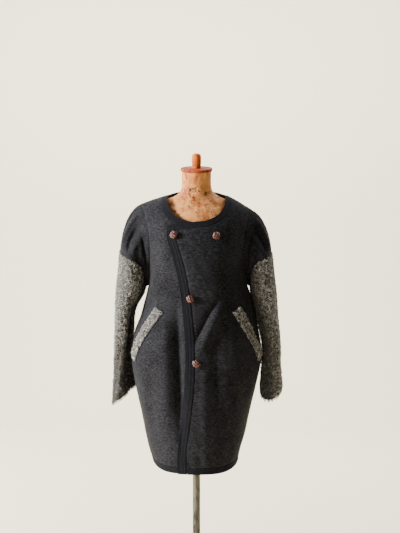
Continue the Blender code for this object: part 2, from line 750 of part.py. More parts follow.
def make_buttons(leather):
    """Knotted buttons: a domed knot on a short shank that clears the cloth."""
    r, top, low = BUTTON_RADIUS, SHANK_HEIGHT + BUTTON_HEIGHT, SHANK_HEIGHT
    profile = [
        (0.0, top),
        (0.45 * r, low + 0.93 * BUTTON_HEIGHT),
        (0.80 * r, low + 0.72 * BUTTON_HEIGHT),
        (r, low + 0.38 * BUTTON_HEIGHT),
        (0.85 * r, low + 0.08 * BUTTON_HEIGHT),
        (0.55 * r, low),
        (0.0030, low - 0.0003),
        (0.0030, 0.0),
        (0.0, 0.0),
    ]
    for name, (x, height, lift) in BUTTONS.items():
        turn = math.asin(max(height - UNDERARM, 0.0) / (SHOULDER_TOP - UNDERARM))
        rise = np.array(min(height, UNDERARM) + ARCH * turn)
        angle = front_angle(np.array(x), rise)
        point = body(angle, rise)
        normal = surface_normals(body, angle, rise)
        place = point + normal * (lap_offset(point, 1) + CLOTH + lift)
        lean = Vector(normal).to_track_quat("Z", "Y").to_euler()
        turned(name, profile, leather, 18, place, lean)


def make_form(paper):
    """Torso and neck of the dress form, lofted through its level cuts."""
    count = 36
    angle = np.linspace(0.0, 2 * math.pi, count, endpoint=False)[None]
    height, half, front, back, forward, squareness, lean = (c[:, None] for c in FORM_CUTS.T)
    across, backward = cut_outline(angle, squareness)
    y = np.where(backward > 0, back, front) * backward
    z = height + lean * y
    points = np.stack([half * across, y + forward, np.broadcast_to(z, y.shape)], axis=-1)
    rings = len(FORM_CUTS)
    index = np.arange(rings * count).reshape(rings, count)
    following = np.roll(index, -1, axis=1)
    sides = np.stack([index[:-1], following[:-1], following[1:], index[1:]], axis=-1)
    faces = sides.reshape(-1, 4).tolist() + [index[0].tolist()[::-1], index[-1].tolist()]
    mesh = bpy.data.meshes.new("form_torso")
    mesh.from_pydata(points.reshape(-1, 3).tolist(), [], faces)
    add_object("form_torso", mesh, paper)


def make_fittings(cap_wood, knob_wood, metal, iron):
    """Neck cap and knob, the socket, the pole and the foot of the stand."""
    lean = (NECK_TILT, 0.0, 0.0)
    r, half = CAP_RADIUS, CAP_THICKNESS / 2
    cap = [
        (0.0, half),
        (r - 0.003, half),
        (r, half - 0.003),
        (r, 0.003 - half),
        (r - 0.003, -half),
        (0.0, -half),
    ]
    turned("neck_cap", cap, cap_wood, 36, CAP_CENTRE, lean)
    knob = [
        (0.0, 0.0545),
        (0.0060, 0.0540),
        (0.0110, 0.0510),
        (0.0138, 0.0450),
        (0.0142, 0.0360),
        (0.0136, 0.0240),
        (0.0126, 0.0120),
        (0.0122, half + GAP),
        (0.0, half + GAP),
    ]
    turned("cap_knob", knob, knob_wood, 24, CAP_CENTRE, lean)
    low = SOCKET_TOP - SOCKET_HEIGHT
    socket = [
        (0.0, SOCKET_TOP),
        (0.050, SOCKET_TOP),
        (0.050, SOCKET_TOP - 0.006),
        (0.024, SOCKET_TOP - 0.014),
        (0.020, low + 0.004),
        (0.017, low),
        (0.0, low),
    ]
    turned("form_socket", socket, metal, 28)
    foot = PLATE_HEIGHT + GAP
    hub = [
        (0.0, foot + HUB_HEIGHT),
        (0.018, foot + HUB_HEIGHT),
        (0.021, foot + HUB_HEIGHT - 0.004),
        (0.024, foot + 0.012),
        (0.034, foot),
        (0.0, foot),
    ]
    turned("base_hub", hub, iron, 28)
    pole = [
        (0.0, low - GAP),
        (POLE_RADIUS, low - GAP),
        (POLE_RADIUS, foot + HUB_HEIGHT + GAP),
        (0.0, foot + HUB_HEIGHT + GAP),
    ]
    turned("pole", pole, metal, 24)
    plate = [
        (0.0, PLATE_HEIGHT),
        (PLATE_RADIUS - 0.012, PLATE_HEIGHT),
        (PLATE_RADIUS - 0.003, PLATE_HEIGHT - 0.003),
        (PLATE_RADIUS, PLATE_HEIGHT - 0.007),
        (PLATE_RADIUS, 0.0),
        (0.0, 0.0),
    ]
    turned("base_plate", plate, iron, 48)


def main():
    """Build every piece into one collection."""
    for existing in list(bpy.data.objects):
        bpy.data.objects.remove(existing, do_unlink=True)
    bpy.context.scene.collection.children.link(bpy.data.collections.new(COLLECTION))
    wool = make_material("felted wool", (58, 58, 61), 0.95)
    band = make_material("wool binding", (44, 44, 48), 0.95)
    looped = make_material("looped yarn", (150, 145, 136), 0.95)
    leather = make_material("plaited leather", (150, 90, 72), 0.55)
    paper = make_material("paper mache", (226, 190, 148), 0.80)
    cap_wood = make_material("red stained wood", (150, 62, 42), 0.45)
    knob_wood = make_material("orange wood", (214, 142, 62), 0.40)
    metal = make_material("worn steel", (150, 148, 136), 0.40, 0.9)
    iron = make_material("black iron", (48, 48, 50), 0.60, 0.6)
    make_fronts(wool, band)
    make_back(wool, band)
    make_neck_bindings(band)
    make_sleeves(wool, looped)
    make_welts(looped)
    make_buttons(leather)
    make_form(paper)
    make_fittings(cap_wood, knob_wood, metal, iron)


main()
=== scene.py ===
"""Looks of a collarless wool jacket with looped-yarn sleeves, worn by a limbless dress form.

Every cloth piece is made on the same surfaces as its solid, with finer folds, rolled edges,
sewing and pile. Units are metres, +Z is up, the jacket faces -Y and its wearer's right is at -X.
"""

from __future__ import annotations

import logging
import math
from dataclasses import dataclass, field
from enum import Enum
from typing import Any, Callable, Sequence, Union

import bpy
import numpy as np
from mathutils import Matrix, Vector

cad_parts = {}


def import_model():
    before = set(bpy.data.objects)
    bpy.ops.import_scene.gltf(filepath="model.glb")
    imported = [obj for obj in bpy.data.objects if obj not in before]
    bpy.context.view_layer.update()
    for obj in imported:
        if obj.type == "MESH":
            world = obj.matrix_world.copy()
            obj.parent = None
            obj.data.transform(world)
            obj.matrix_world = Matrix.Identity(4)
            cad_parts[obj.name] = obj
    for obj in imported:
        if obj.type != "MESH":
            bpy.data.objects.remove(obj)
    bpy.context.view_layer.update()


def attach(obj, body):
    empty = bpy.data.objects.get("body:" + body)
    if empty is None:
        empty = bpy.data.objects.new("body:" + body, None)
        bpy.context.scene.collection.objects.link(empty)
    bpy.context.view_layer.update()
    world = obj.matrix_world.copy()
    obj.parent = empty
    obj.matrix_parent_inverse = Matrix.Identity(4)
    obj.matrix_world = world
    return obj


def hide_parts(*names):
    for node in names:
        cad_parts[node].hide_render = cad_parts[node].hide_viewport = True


log = logging.getLogger("jacket")

Array = np.ndarray
Colour = tuple[float, float, float]
Profile = Sequence[tuple[float, float]]
SMALL = 1e-5
WAVES = 14
TURN_STEPS = 96
EVERY_BORDER = ("first_row", "last_row", "first_column", "last_column")


class Side(Enum):
    """The wearer's sides; the value is the sign of X."""

    RIGHT = -1
    LEFT = 1

    @property
    def word(self) -> str:
        """The side as piece names spell it."""
        return self.name.lower()


class Slot(str, Enum):
    """The record's material slots."""

    WOOL = "felted_wool"
    BINDING = "wool_binding"
    LOOPED = "looped_yarn"
    LEATHER = "plaited_leather"
    PAPER = "paper_mache"
    RED_WOOD = "red_wood"
    ORANGE_WOOD = "orange_wood"
    STEEL = "worn_steel"
    IRON = "black_iron"


# Shading


def screen(red: float, green: float, blue: float) -> tuple[float, float, float, float]:
    """Linear colour of screen values, with full cover.

    Args:
        red: from 0 to 255.
        green: from 0 to 255.
        blue: from 0 to 255.

    Returns:
        The three linear shares and 1.
    """
    values = [c / 255 for c in (red, green, blue)]
    linear = [((c + 0.055) / 1.055) ** 2.4 if c > 0.04 else c / 12.92 for c in values]
    return (linear[0], linear[1], linear[2], 1.0)


Number = Union["Socket", float]


class Socket:
    """A socket of a material's nodes; arithmetic on number sockets adds Math nodes."""

    def __init__(self, graph: "Graph", socket: bpy.types.NodeSocket) -> None:
        """Keep the socket and the graph that it belongs to."""
        self.graph = graph
        self.socket = socket

    def _math(self, operation: str, first: Number, second: Number) -> "Socket":
        """Result of a Math node of that operation on two numbers."""
        return self.graph.add("ShaderNodeMath", {"operation": operation}, {0: first, 1: second})

    def __add__(self, other: Number) -> "Socket":
        """Sum."""
        return self._math("ADD", self, other)

    __radd__ = __add__

    def __rsub__(self, other: Number) -> "Socket":
        """Difference from a number."""
        return self._math("SUBTRACT", other, self)

    def __mul__(self, other: Number) -> "Socket":
        """Product."""
        return self._math("MULTIPLY", self, other)

    __rmul__ = __mul__

    def between(self, low: float, high: float) -> "Socket":
        """Soft step of the number.

        Args:
            low: below it the step is 0.
            high: above it the step is 1.

        Returns:
            The step's socket.
        """
        settings = {"interpolation_type": "SMOOTHSTEP"}
        inputs = {"Value": self, "From Min": low, "From Max": high}
        return self.graph.add("ShaderNodeMapRange", settings, inputs)


class Graph:
    """The nodes of one material round its Principled shader."""

    def __init__(self, name: str, colour: Sequence[float], constants: dict[str, Any]) -> None:
        """Make the material.

        Args:
            name: the material's name.
            colour: its plain linear colour, with cover.
            constants: values of the shader's own sockets.
        """
        self.material = bpy.data.materials.new(name)
        self.material.use_nodes = True
        self.material.diffuse_color = tuple(colour)
        self.tree = self.material.node_tree
        self.shader = self.tree.nodes["Principled BSDF"]
        self.shader.inputs["Base Color"].default_value = tuple(colour)
        for socket, value in constants.items():
            self.shader.inputs[socket].default_value = value

    def add(
        self, kind: str, settings: dict[str, Any] | None = None, inputs: dict[Any, Any] | None = None,
        output: int | str = 0,
    ) -> Socket:
        """Add a node.

        Args:
            kind: the node's type.
            settings: its properties, set first.
            inputs: the values or links of its sockets, by name or place.
            output: which of its outputs is returned.

        Returns:
            The output socket.
        """
        node = self.tree.nodes.new(kind)
        for key, value in (settings or {}).items():
            setattr(node, key, value)
        for key, value in (inputs or {}).items():
            if isinstance(value, Socket):
                self.tree.links.new(value.socket, node.inputs[key])
            else:
                node.inputs[key].default_value = value
        return Socket(self, node.outputs[output])

    def place(self, stretch: Sequence[float] = (1.0, 1.0, 1.0)) -> Socket:
        """The piece's own coordinates in metres, stretched along the axes."""
        own = self.add("ShaderNodeTexCoord", output="Object")
        return self.add("ShaderNodeMapping", None, {"Vector": own, "Scale": tuple(stretch)})

    def noise(self, stretch: Sequence[float], scale: float, detail: float, warp: float = 0.0) -> Socket:
        """Cloudy noise from 0 to 1 on stretched coordinates."""
        inputs = {"Vector": self.place(stretch), "Scale": scale, "Detail": detail, "Distortion": warp}
        return self.add("ShaderNodeTexNoise", None, inputs)

    def cells(self, stretch: Sequence[float], scale: float) -> Socket:
        """Distance to the nearest of scattered points."""
        return self.add("ShaderNodeTexVoronoi", None, {"Vector": self.place(stretch), "Scale": scale})

    def attribute(self, name: str) -> Socket:
        """A number kept on the mesh."""
        return self.add("ShaderNodeAttribute", {"attribute_name": name}, output="Fac")

    def mix(self, factor: Number, first: Any, second: Any) -> Socket:
        """Colour between two colours."""
        return self.add("ShaderNodeMix", {"data_type": "RGBA"}, {0: factor, 6: first, 7: second}, 2)

    def finish(
        self, colour: Socket, height: Socket, depth: float, roughness: Socket | None = None
    ) -> bpy.types.Material:
        """Link the shader.

        Args:
            colour: what feeds the base colour.
            height: relief from 0 to 1, which bends the normal.
            depth: the relief's depth in metres.
            roughness: what feeds the roughness.

        Returns:
            The material.
        """
        self.tree.links.new(colour.socket, self.shader.inputs["Base Color"])
        if roughness:
            self.tree.links.new(roughness.socket, self.shader.inputs["Roughness"])
        bump = self.add("ShaderNodeBump", None, {"Strength": 1.0, "Distance": depth, "Height": height})
        self.tree.links.new(bump.socket, self.shader.inputs["Normal"])
        return self.material


@dataclass(frozen=True)
class Wool:
    """Felted wool: near black with level slubs, pale flecks and a soft nap.

    The colours are screen values, flecks is how strong they are and nap the relief's depth.
    """

    ground: Colour = (12, 12, 15)
    slub: Colour = (44, 44, 48)
    fleck: Colour = (90, 90, 96)
    flecks: float = 1.0
    nap: float = 0.0007

    def material(self, name: str) -> bpy.types.Material:
        """Make the finish a material.

        Args:
            name: the material's name.

        Returns:
            The material.
        """
        sheen = {"Sheen Weight": 0.03, "Sheen Roughness": 0.45}
        constants = {"Roughness": 0.92, "Specular IOR Level": 0.12, **sheen}
        graph = Graph(name, screen(*self.ground), constants)
        slubs = graph.noise((1.0, 1.0, 2.6), 125.0, 6.0, 0.5)
        cloud = graph.noise((1.0, 1.0, 1.0), 14.0, 2.0)
        grain = graph.noise((1.0, 1.0, 2.2), 420.0, 3.0)
        blend = (slubs * 0.75 + cloud * 0.25).between(0.34, 0.68)
        base = graph.mix(blend, screen(*self.ground), screen(*self.slub))
        flecks = graph.noise((1.0, 1.0, 2.5), 620.0, 1.0).between(0.70, 0.80) * (0.55 * self.flecks)
        colour = graph.mix(flecks, base, screen(*self.fleck))
        return graph.finish(colour, grain * 0.6 + slubs * 0.4, self.nap)


@dataclass(frozen=True)
class LoopedGround:
    """The dense ground between the loops of the looped yarn."""

    dark: Colour = (32, 31, 30)
    pale: Colour = (98, 96, 92)

    def material(self, name: str) -> bpy.types.Material:
        """Make the finish a material.

        Args:
            name: the material's name.

        Returns:
            The material.
        """
        constants = {"Roughness": 0.95, "Sheen Weight": 0.15, "Specular IOR Level": 0.2}
        graph = Graph(name, screen(*self.pale), constants)
        patches = graph.noise((1.0, 1.0, 1.0), 130.0, 4.0, 1.2)
        colour = graph.mix(patches.between(0.40, 0.62), screen(*self.dark), screen(*self.pale))
        return graph.finish(colour, graph.noise((1.0, 1.0, 1.0), 360.0, 3.0), 0.0012)


@dataclass(frozen=True)
class LoopedYarn:
    """Curled yarn; each loop's tone, its yarn colour with painted shade on the sleeves, runs from dark
    through grey to pale.
    """

    dark: Colour = (24, 23, 23)
    middle: Colour = (98, 96, 93)
    pale: Colour = (208, 204, 198)

    def material(self, name: str) -> bpy.types.Material:
        """Make the finish a material.

        Args:
            name: the material's name.

        Returns:
            The material.
        """
        constants = {"Roughness": 0.95, "Sheen Weight": 0.2, "Specular IOR Level": 0.2}
        graph = Graph(name, screen(*self.middle), constants)
        tone = graph.attribute("tone")
        darker = graph.mix(tone.between(0.0, 0.5), screen(*self.dark), screen(*self.middle))
        colour = graph.mix(tone.between(0.5, 1.0), darker, screen(*self.pale))
        return graph.finish(colour, graph.noise((1.0, 1.0, 1.0), 900.0, 2.0), 0.0005)


@dataclass(frozen=True)
class Leather:
    """Plaited leather of warm brown, with painted shade where the strands dip."""

    painted_gap_shade: Colour = (4, 2, 1)
    worn: Colour = (80, 35, 26)

    def material(self, name: str) -> bpy.types.Material:
        """Make the finish a material.

        Args:
            name: the material's name.

        Returns:
            The material.
        """
        graph = Graph(name, screen(*self.worn), {"Roughness": 0.34, "Specular IOR Level": 0.6})
        tone = graph.attribute("tone")
        grain = graph.noise((1.0, 1.0, 1.0), 700.0, 3.0)
        # painted shade: the tone falls where a strand dips, blended with the leather's grain
        wear = (tone * 0.85 + grain * 0.3).between(0.25, 1.0)
        colour = graph.mix(wear, screen(*self.painted_gap_shade), screen(*self.worn))
        return graph.finish(colour, grain, 0.0003)


@dataclass(frozen=True)
class PaperMache:
    """Old layered paper: cream with tan clouds, brown stains, fine cracks and streaks down the neck."""

    cream: Colour = (215, 149, 86)
    tan: Colour = (178, 102, 50)
    stain: Colour = (66, 35, 18)

    def material(self, name: str) -> bpy.types.Material:
        """Make the finish a material.

        Args:
            name: the material's name.

        Returns:
            The material.
        """
        graph = Graph(name, screen(*self.cream), {"Roughness": 0.7, "Specular IOR Level": 0.2})
        height = graph.add("ShaderNodeSeparateXYZ", None, {"Vector": graph.place()}, "Z")
        foot = height.between(1.352, 1.372) * (1 - height.between(1.376, 1.398))
        head = height.between(1.385, 1.455)
        cloud = graph.noise((1.0, 1.0, 0.7), 22.0, 5.0, 0.8)
        streak = graph.noise((1.0, 1.0, 0.22), 75.0, 4.0, 0.4)
        spots = graph.noise((1.0, 1.0, 1.0), 62.0, 6.0, 0.9)
        blend = (cloud * 0.6 + streak * 0.4).between(0.42, 0.62)
        base = graph.mix(blend, screen(*self.cream), screen(*self.tan))
        stains = (spots + foot * 0.075).between(0.55, 0.70) * 0.75
        streaks = (streak + head * 0.07).between(0.58, 0.72) * 0.6
        wander = graph.noise((1.0, 1.0, 1.5), 44.0, 4.0, 0.9)
        lines = wander.between(0.482, 0.5) * (1 - wander.between(0.5, 0.518))
        cracks = lines * (1 - height.between(1.385, 1.410))
        marks = stains + streaks + cracks * cloud.between(0.32, 0.52) * 0.9
        colour = graph.mix(marks.between(0.0, 1.1), base, screen(*self.stain))
        layers = graph.cells((1.0, 1.0, 1.6), 38.0)
        return graph.finish(colour, layers * 0.5 + cloud * 0.5, 0.0016)


@dataclass(frozen=True)
class Wood:
    """Turned wood with a fine grain and worn places."""

    worn: Colour
    deep: Colour
    roughness: float
    grain_run: tuple[float, float, float]

    def material(self, name: str) -> bpy.types.Material:
        """Make the finish a material.

        Args:
            name: the material's name.

        Returns:
            The material.
        """
        constants = {"Roughness": self.roughness, "Specular IOR Level": 0.22}
        graph = Graph(name, screen(*self.worn), constants)
        grain = graph.noise(self.grain_run, 90.0, 4.0, 0.5)
        wear = graph.noise((1.0, 1.0, 1.0), 60.0, 3.0)
        blend = (grain * 0.6 + wear * 0.4).between(0.38, 0.62)
        colour = graph.mix(blend, screen(*self.worn), screen(*self.deep))
        return graph.finish(colour, grain, 0.0003)


@dataclass(frozen=True)
class Metal:
    """Bare or painted metal with dull spots."""

    bright: Colour
    dull: Colour
    metallic: float
    roughness: float
    spots: tuple[float, float, float] = (1.0, 1.0, 0.35)

    def material(self, name: str) -> bpy.types.Material:
        """Make the finish a material.

        Args:
            name: the material's name.

        Returns:
            The material.
        """
        graph = Graph(name, screen(*self.bright), {"Metallic": self.metallic, "Roughness": self.roughness})
        wear = graph.noise(self.spots, 70.0, 5.0, 0.6)
        colour = graph.mix(wear.between(0.42, 0.66), screen(*self.bright), screen(*self.dull))
        roughness = wear.between(0.40, 0.70) * 0.25 + self.roughness
        return graph.finish(colour, wear, 0.0002, roughness)


FELT = Wool()
BINDING = Wool((14, 14, 18), (22, 22, 28), (64, 64, 72), 0.5, 0.0005)
THREAD = Wool((34, 34, 37), (44, 44, 48), (70, 70, 74), 0.3, 0.0002)
RED_WOOD = Wood((172, 72, 26), (92, 24, 10), 0.62, (1.0, 7.0, 1.0))
ORANGE_WOOD = Wood((214, 112, 22), (158, 66, 10), 0.55, (5.0, 5.0, 1.0))
WORN_STEEL = Metal((98, 94, 80), (40, 38, 28), 0.5, 0.5)
BLACK_IRON = Metal((54, 54, 56), (36, 36, 37), 0.5, 0.55, (1.0, 1.0, 1.0))


# Numbers


def curve_through(values: Array, knots: Array, levels: Array) -> Array:
    """Cubic through levels at knots, whose slope at a knot is that between its neighbours.

    Args:
        values: places to work it out at.
        knots: rising places of the levels.
        levels: what the curve passes through.

    Returns:
        The curve at the values; between two knots it is the cubic with both levels and slopes.
    """
    slopes = np.gradient(levels, knots)
    k = np.clip(np.searchsorted(knots, values, side="right") - 1, 0, len(knots) - 2)
    span = knots[k + 1] - knots[k]
    f = (values - knots[k]) / span
    rise = levels[k + 1] - levels[k]
    start, end = slopes[k] * span, slopes[k + 1] * span
    return levels[k] + f * start + f**2 * (3 * rise - 2 * start - end) + f**3 * (start + end - 2 * rise)


def smooth_step(values: Array, low: Array | float, high: Array | float) -> Array:
    """0 below low, 1 above high, and three squares less two cubes of the share between."""
    f = np.clip((values - low) / (high - low), 0.0, 1.0)
    return f * f * (3 - 2 * f)


def unit(vectors: Array) -> Array:
    """Vectors brought to length one."""
    return vectors / np.maximum(np.linalg.norm(vectors, axis=-1, keepdims=True), 1e-12)


def finer(values: Array, steps: int) -> Array:
    """Values with that many even steps in each of their intervals."""
    index = np.linspace(0, len(values) - 1, (len(values) - 1) * steps + 1)
    return np.interp(index, np.arange(len(values)), values)


def ripple(points: Array, wavelength: float, seed: int) -> Array:
    """Uneven waves over points in space, about -1 to 1.

    Args:
        points: places, with x, y and z last.
        wavelength: the waves' length in metres.
        seed: which directions and phases.

    Returns:
        The sum of plane waves of seeded directions, phases and slightly unlike lengths,
        over the root of half their number.
    """
    rng = np.random.default_rng(seed)
    directions = unit(rng.normal(size=(WAVES, 3))) * (2 * math.pi / wavelength)
    directions *= rng.uniform(0.7, 1.35, (WAVES, 1))
    phases = rng.uniform(0, 2 * math.pi, WAVES)
    total = np.zeros(points.shape[:-1])
    for direction, phase in zip(directions, phases):
        total += np.sin(points @ direction + phase)
    return total / math.sqrt(WAVES / 2) * 0.6


def arc(points: Array, axis: int) -> Array:
    """Length along a grid's lines from its first border.

    Args:
        points: grid of points, columns by rows.
        axis: 0 across the columns and 1 along the rows.

    Returns:
        The steps from point to point, summed.
    """
    steps = np.linalg.norm(np.diff(points, axis=axis), axis=-1)
    pad = [(0, 0), (0, 0)]
    pad[axis] = (1, 0)
    return np.cumsum(np.pad(steps, pad), axis=axis)


@dataclass(frozen=True)
class Borders:
    """Distance of each point of a grid from its four borders, along the grid's lines."""

    first_column: Array
    last_column: Array
    first_row: Array
    last_row: Array

    @staticmethod
    def of(points: Array) -> "Borders":
        """The distances on a grid of columns by rows."""
        across, along = arc(points, 0), arc(points, 1)
        return Borders(across, across[-1:] - across, along, along[:, -1:] - along)

    def groove(self, depth: float, width: float, *names: str) -> Array:
        """Depth of a seam's groove: a bell of the distance from the named borders, the deepest one."""
        near = [np.exp(-((getattr(self, name) / width) ** 2)) for name in names]
        return depth * np.max(near, axis=0)


@dataclass(frozen=True)
class Fold:
    """A soft trough along a line on a surface's two coordinates; a ridge has a negative depth."""

    start: tuple[float, float]
    end: tuple[float, float]
    spread: float
    depth: float
    bow: float = 0.0
    steep: float = 0.0

    def at(self, u: Array, v: Array) -> Array:
        """Depth at places.

        Args:
            u: first coordinate in metres.
            v: second coordinate in metres.

        Returns:
            A bell of the distance from the line, which bows by a parabola and is narrower
            on one side where steep is not 0, times a soft rise at the start and fall at the end.
        """
        du, dv = self.end[0] - self.start[0], self.end[1] - self.start[1]
        length = math.hypot(du, dv)
        along = ((u - self.start[0]) * du + (v - self.start[1]) * dv) / length**2
        away = ((u - self.start[0]) * dv - (v - self.start[1]) * du) / length
        inside = np.clip(along, 0.0, 1.0)
        away = away - self.bow * 4 * inside * (1 - inside)
        spread = np.where(away * self.steep > 0, self.spread * (1 - abs(self.steep)), self.spread)
        ends = smooth_step(along, -0.15, 0.25) * smooth_step(1 - along, -0.15, 0.30)
        return self.depth * ends * np.exp(-((away / spread) ** 2))


def pressed(folds: Sequence[Fold], u: Array, v: Array) -> Array:
    """Summed depth of folds at places."""
    return sum((fold.at(u, v) for fold in folds), np.zeros(np.broadcast(u, v).shape))


Surface = Callable[[Array, Array], Array]


def surface_normals(surface: Surface, u: Array, v: Array) -> Array:
    """Unit normals of a surface.

    Args:
        surface: its points at two coordinates.
        u: first coordinate.
        v: second coordinate.

    Returns:
        The cross product of small steps both ways, brought to length one.
    """
    along_u = surface(u + SMALL, v) - surface(u - SMALL, v)
    along_v = surface(u, v + SMALL) - surface(u, v - SMALL)
    return unit(np.cross(along_u, along_v))


def drawn_in(grid: Array, distance: float) -> Array:
    """Move a grid's borders inward over its surface.

    Args:
        grid: points, columns by rows.
        distance: how far, square to each border.

    Returns:
        The grid with its four borders moved.
    """
    result = grid.copy()
    for axis in (0, 1):
        turned = np.moveaxis(result, axis, 0)
        source = np.moveaxis(grid, axis, 0)
        for edge, inner in ((0, 1), (-1, -2)):
            tangent = unit(np.gradient(source[edge], axis=0))
            inward = source[inner] - source[edge]
            inward = inward - tangent * (inward * tangent).sum(axis=-1, keepdims=True)
            turned[edge] += distance * unit(inward)
    return result


# Meshes


def add_piece(
    name: str, points: Array, faces: list, material: bpy.types.Material, sharp: float = 50.0
) -> bpy.types.Object:
    """Object of a mesh at the origin.

    Args:
        name: the piece's name.
        points: its vertices.
        faces: lists of vertex numbers.
        material: its finish.
        sharp: angle in degrees past which an edge stays sharp.

    Returns:
        The object, riding on the one body.
    """
    mesh = bpy.data.meshes.new(name)
    mesh.from_pydata(points.reshape(-1, 3).tolist(), [], faces)
    mesh.materials.append(material)
    mesh.shade_smooth()
    mesh.set_sharp_from_angle(angle=math.radians(sharp))
    piece = bpy.data.objects.new(name, mesh)
    bpy.context.scene.collection.objects.link(piece)
    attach(piece, "root")
    return piece


def add_tone(piece: bpy.types.Object, tone: Array) -> None:
    """Keep a number on each vertex for the finish to read."""
    layer = piece.data.attributes.new("tone", "FLOAT", "POINT")
    layer.data.foreach_set("value", tone.astype(np.float32).ravel())


def stand_in(piece: bpy.types.Object, node: str) -> None:
    """Put a piece in its solid's place, and report it.

    Args:
        piece: the piece.
        node: the solid's name.
    """
    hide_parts(node)
    log.info("%s: %d faces", piece.name, len(piece.data.polygons))


def wall(name: str, inner: Array, outer: Array, material: bpy.types.Material) -> bpy.types.Object:
    """Closed wall between two grids.

    Args:
        name: the piece's name.
        inner: grid of the inner face.
        outer: grid of the outer face.
        material: its finish.

    Returns:
        The object: both faces, and a rim along the four borders.
    """
    across = inner[1:, 1:] - inner[:-1, :-1]
    along = inner[:-1, 1:] - inner[1:, :-1]
    if (np.cross(across, along) * (outer - inner)[1:, 1:]).sum() < 0:
        inner, outer = inner[::-1], outer[::-1]
    columns, rows = inner.shape[:2]
    index = np.arange(columns * rows).reshape(columns, rows)
    far = index + columns * rows
    cells = np.stack([index[:-1, :-1], index[1:, :-1], index[1:, 1:], index[:-1, 1:]], axis=-1)
    parts = [cells.reshape(-1, 4)[:, ::-1], (cells + columns * rows).reshape(-1, 4)]
    for near_edge, far_edge in (
        (index[:, 0], far[:, 0]), (index[-1, :], far[-1, :]), (index[::-1, -1], far[::-1, -1]),
        (index[0, ::-1], far[0, ::-1]),
    ):
        parts.append(np.stack([near_edge[:-1], near_edge[1:], far_edge[1:], far_edge[:-1]], axis=-1))
    points = np.concatenate([inner.reshape(-1, 3), outer.reshape(-1, 3)])
    return add_piece(name, points, np.concatenate(parts).tolist(), material)


def declare_cloth(middle: Array) -> None:
    """Work out the cross products of a piece's cells; the result is not kept.

    Args:
        middle: its grid of points, columns by rows.
    """
    cross = np.cross(middle[1:, 1:] - middle[:-1, :-1], middle[:-1, 1:] - middle[1:, :-1])


def tubes(
    paths: Array, radii: Array, sides: int, across: Array | None = None, flat: float = 1.0
) -> tuple[Array, list]:
    """Closed tubes along many paths of the same number of points.

    Args:
        paths: tubes by points by 3; the first and last points are the closed ends.
        radii: tubes by points, the half width at each point.
        sides: corners of a cross-section.
        across: tubes by points by 3, the direction in which a flat tube is thin.
        flat: thickness over width.

    Returns:
        The vertices and faces. A ring stands round each inner point, its corners at even
        angles between two directions square to the path.
    """
    count, steps = paths.shape[:2]
    tangent = unit(np.gradient(paths, axis=1))
    if across is None:
        across = np.broadcast_to(np.array([0.31, 0.53, 0.79]), paths.shape)
    thin = unit(across - tangent * (across * tangent).sum(axis=-1, keepdims=True))
    wide = np.cross(tangent, thin)
    angle = np.linspace(0, 2 * math.pi, sides, endpoint=False)
    ring = (
        paths[:, 1:-1, None]
        + radii[:, 1:-1, None, None] * np.cos(angle)[:, None] * wide[:, 1:-1, None]
        + flat * radii[:, 1:-1, None, None] * np.sin(angle)[:, None] * thin[:, 1:-1, None]
    )
    inner = steps - 2
    points = np.concatenate([ring.reshape(count, -1, 3), paths[:, :1], paths[:, -1:]], axis=1)
    index = np.arange(inner * sides).reshape(inner, sides)
    after = np.roll(index, -1, axis=1)
    quads = np.stack([index[:-1], after[:-1], after[1:], index[1:]], axis=-1).reshape(-1, 4)
    first, last = inner * sides, inner * sides + 1
    start = np.stack([after[0], index[0], np.full(sides, first)], axis=-1)
    end = np.stack([index[-1], after[-1], np.full(sides, last)], axis=-1)
    jump = np.arange(count)[:, None, None] * points.shape[1]
    faces = (quads[None] + jump).reshape(-1, 4).tolist()
    faces += (np.concatenate([start, end])[None] + jump).reshape(-1, 3).tolist()
    return points.reshape(-1, 3), faces


def turned(name: str, profile: Profile, material: bpy.types.Material) -> bpy.types.Object:
    """Piece turned about the Z axis.

    Args:
        name: the piece's name.
        profile: radius and height pairs from top to bottom; the first and last are on the axis.
        material: its finish.

    Returns:
        The object: radius times cosine and sine of the angle, closed by a pole at each end.
    """
    pairs = np.array(profile)
    angle = np.linspace(0, 2 * math.pi, TURN_STEPS, endpoint=False)
    radius, height = pairs[1:-1, :1], pairs[1:-1, 1:]
    level = np.broadcast_to(height, (len(radius), TURN_STEPS))
    rings = np.stack([radius * np.cos(angle), radius * np.sin(angle), level], axis=-1)
    return loft(name, rings, pairs[0, 1], pairs[-1, 1], material)


def skin(rings: Array, top: float, bottom: float) -> tuple[Array, list]:
    """Closed skin over rings from top to bottom, counted anticlockwise from above.

    Args:
        rings: rings by points by 3.
        top: height of the upper pole over the first ring's middle.
        bottom: height of the lower pole.

    Returns:
        The vertices and faces.
    """
    count, steps = rings.shape[:2]
    index = np.arange(count * steps).reshape(count, steps)
    after = np.roll(index, -1, axis=1)
    faces = np.stack([index[1:], after[1:], after[:-1], index[:-1]], axis=-1).reshape(-1, 4).tolist()
    poles = np.stack([rings[0].mean(axis=0), rings[-1].mean(axis=0)])
    poles[0, 2], poles[1, 2] = top, bottom
    upper, lower = count * steps, count * steps + 1
    faces += np.stack([index[0], after[0], np.full(steps, upper)], axis=-1).tolist()
    faces += np.stack([after[-1], index[-1], np.full(steps, lower)], axis=-1).tolist()
    return np.concatenate([rings.reshape(-1, 3), poles]), faces


def loft(
    name: str, rings: Array, top: float, bottom: float, material: bpy.types.Material
) -> bpy.types.Object:
    """Object of a closed skin over rings, with the same order and poles as the skin.

    Args:
        name: the piece's name.
        rings: rings by points by 3.
        top: height of the upper pole.
        bottom: height of the lower pole.
        material: its finish.

    Returns:
        The object.
    """
    points, faces = skin(rings, top, bottom)
    return add_piece(name, points, faces, material, 32.0)


# The surfaces that the cloth follows


def table(rows: Sequence[Any]) -> Any:
    """Dataclass field that holds a row of numbers or a table as an array."""
    return field(default_factory=lambda: np.array(rows, float))


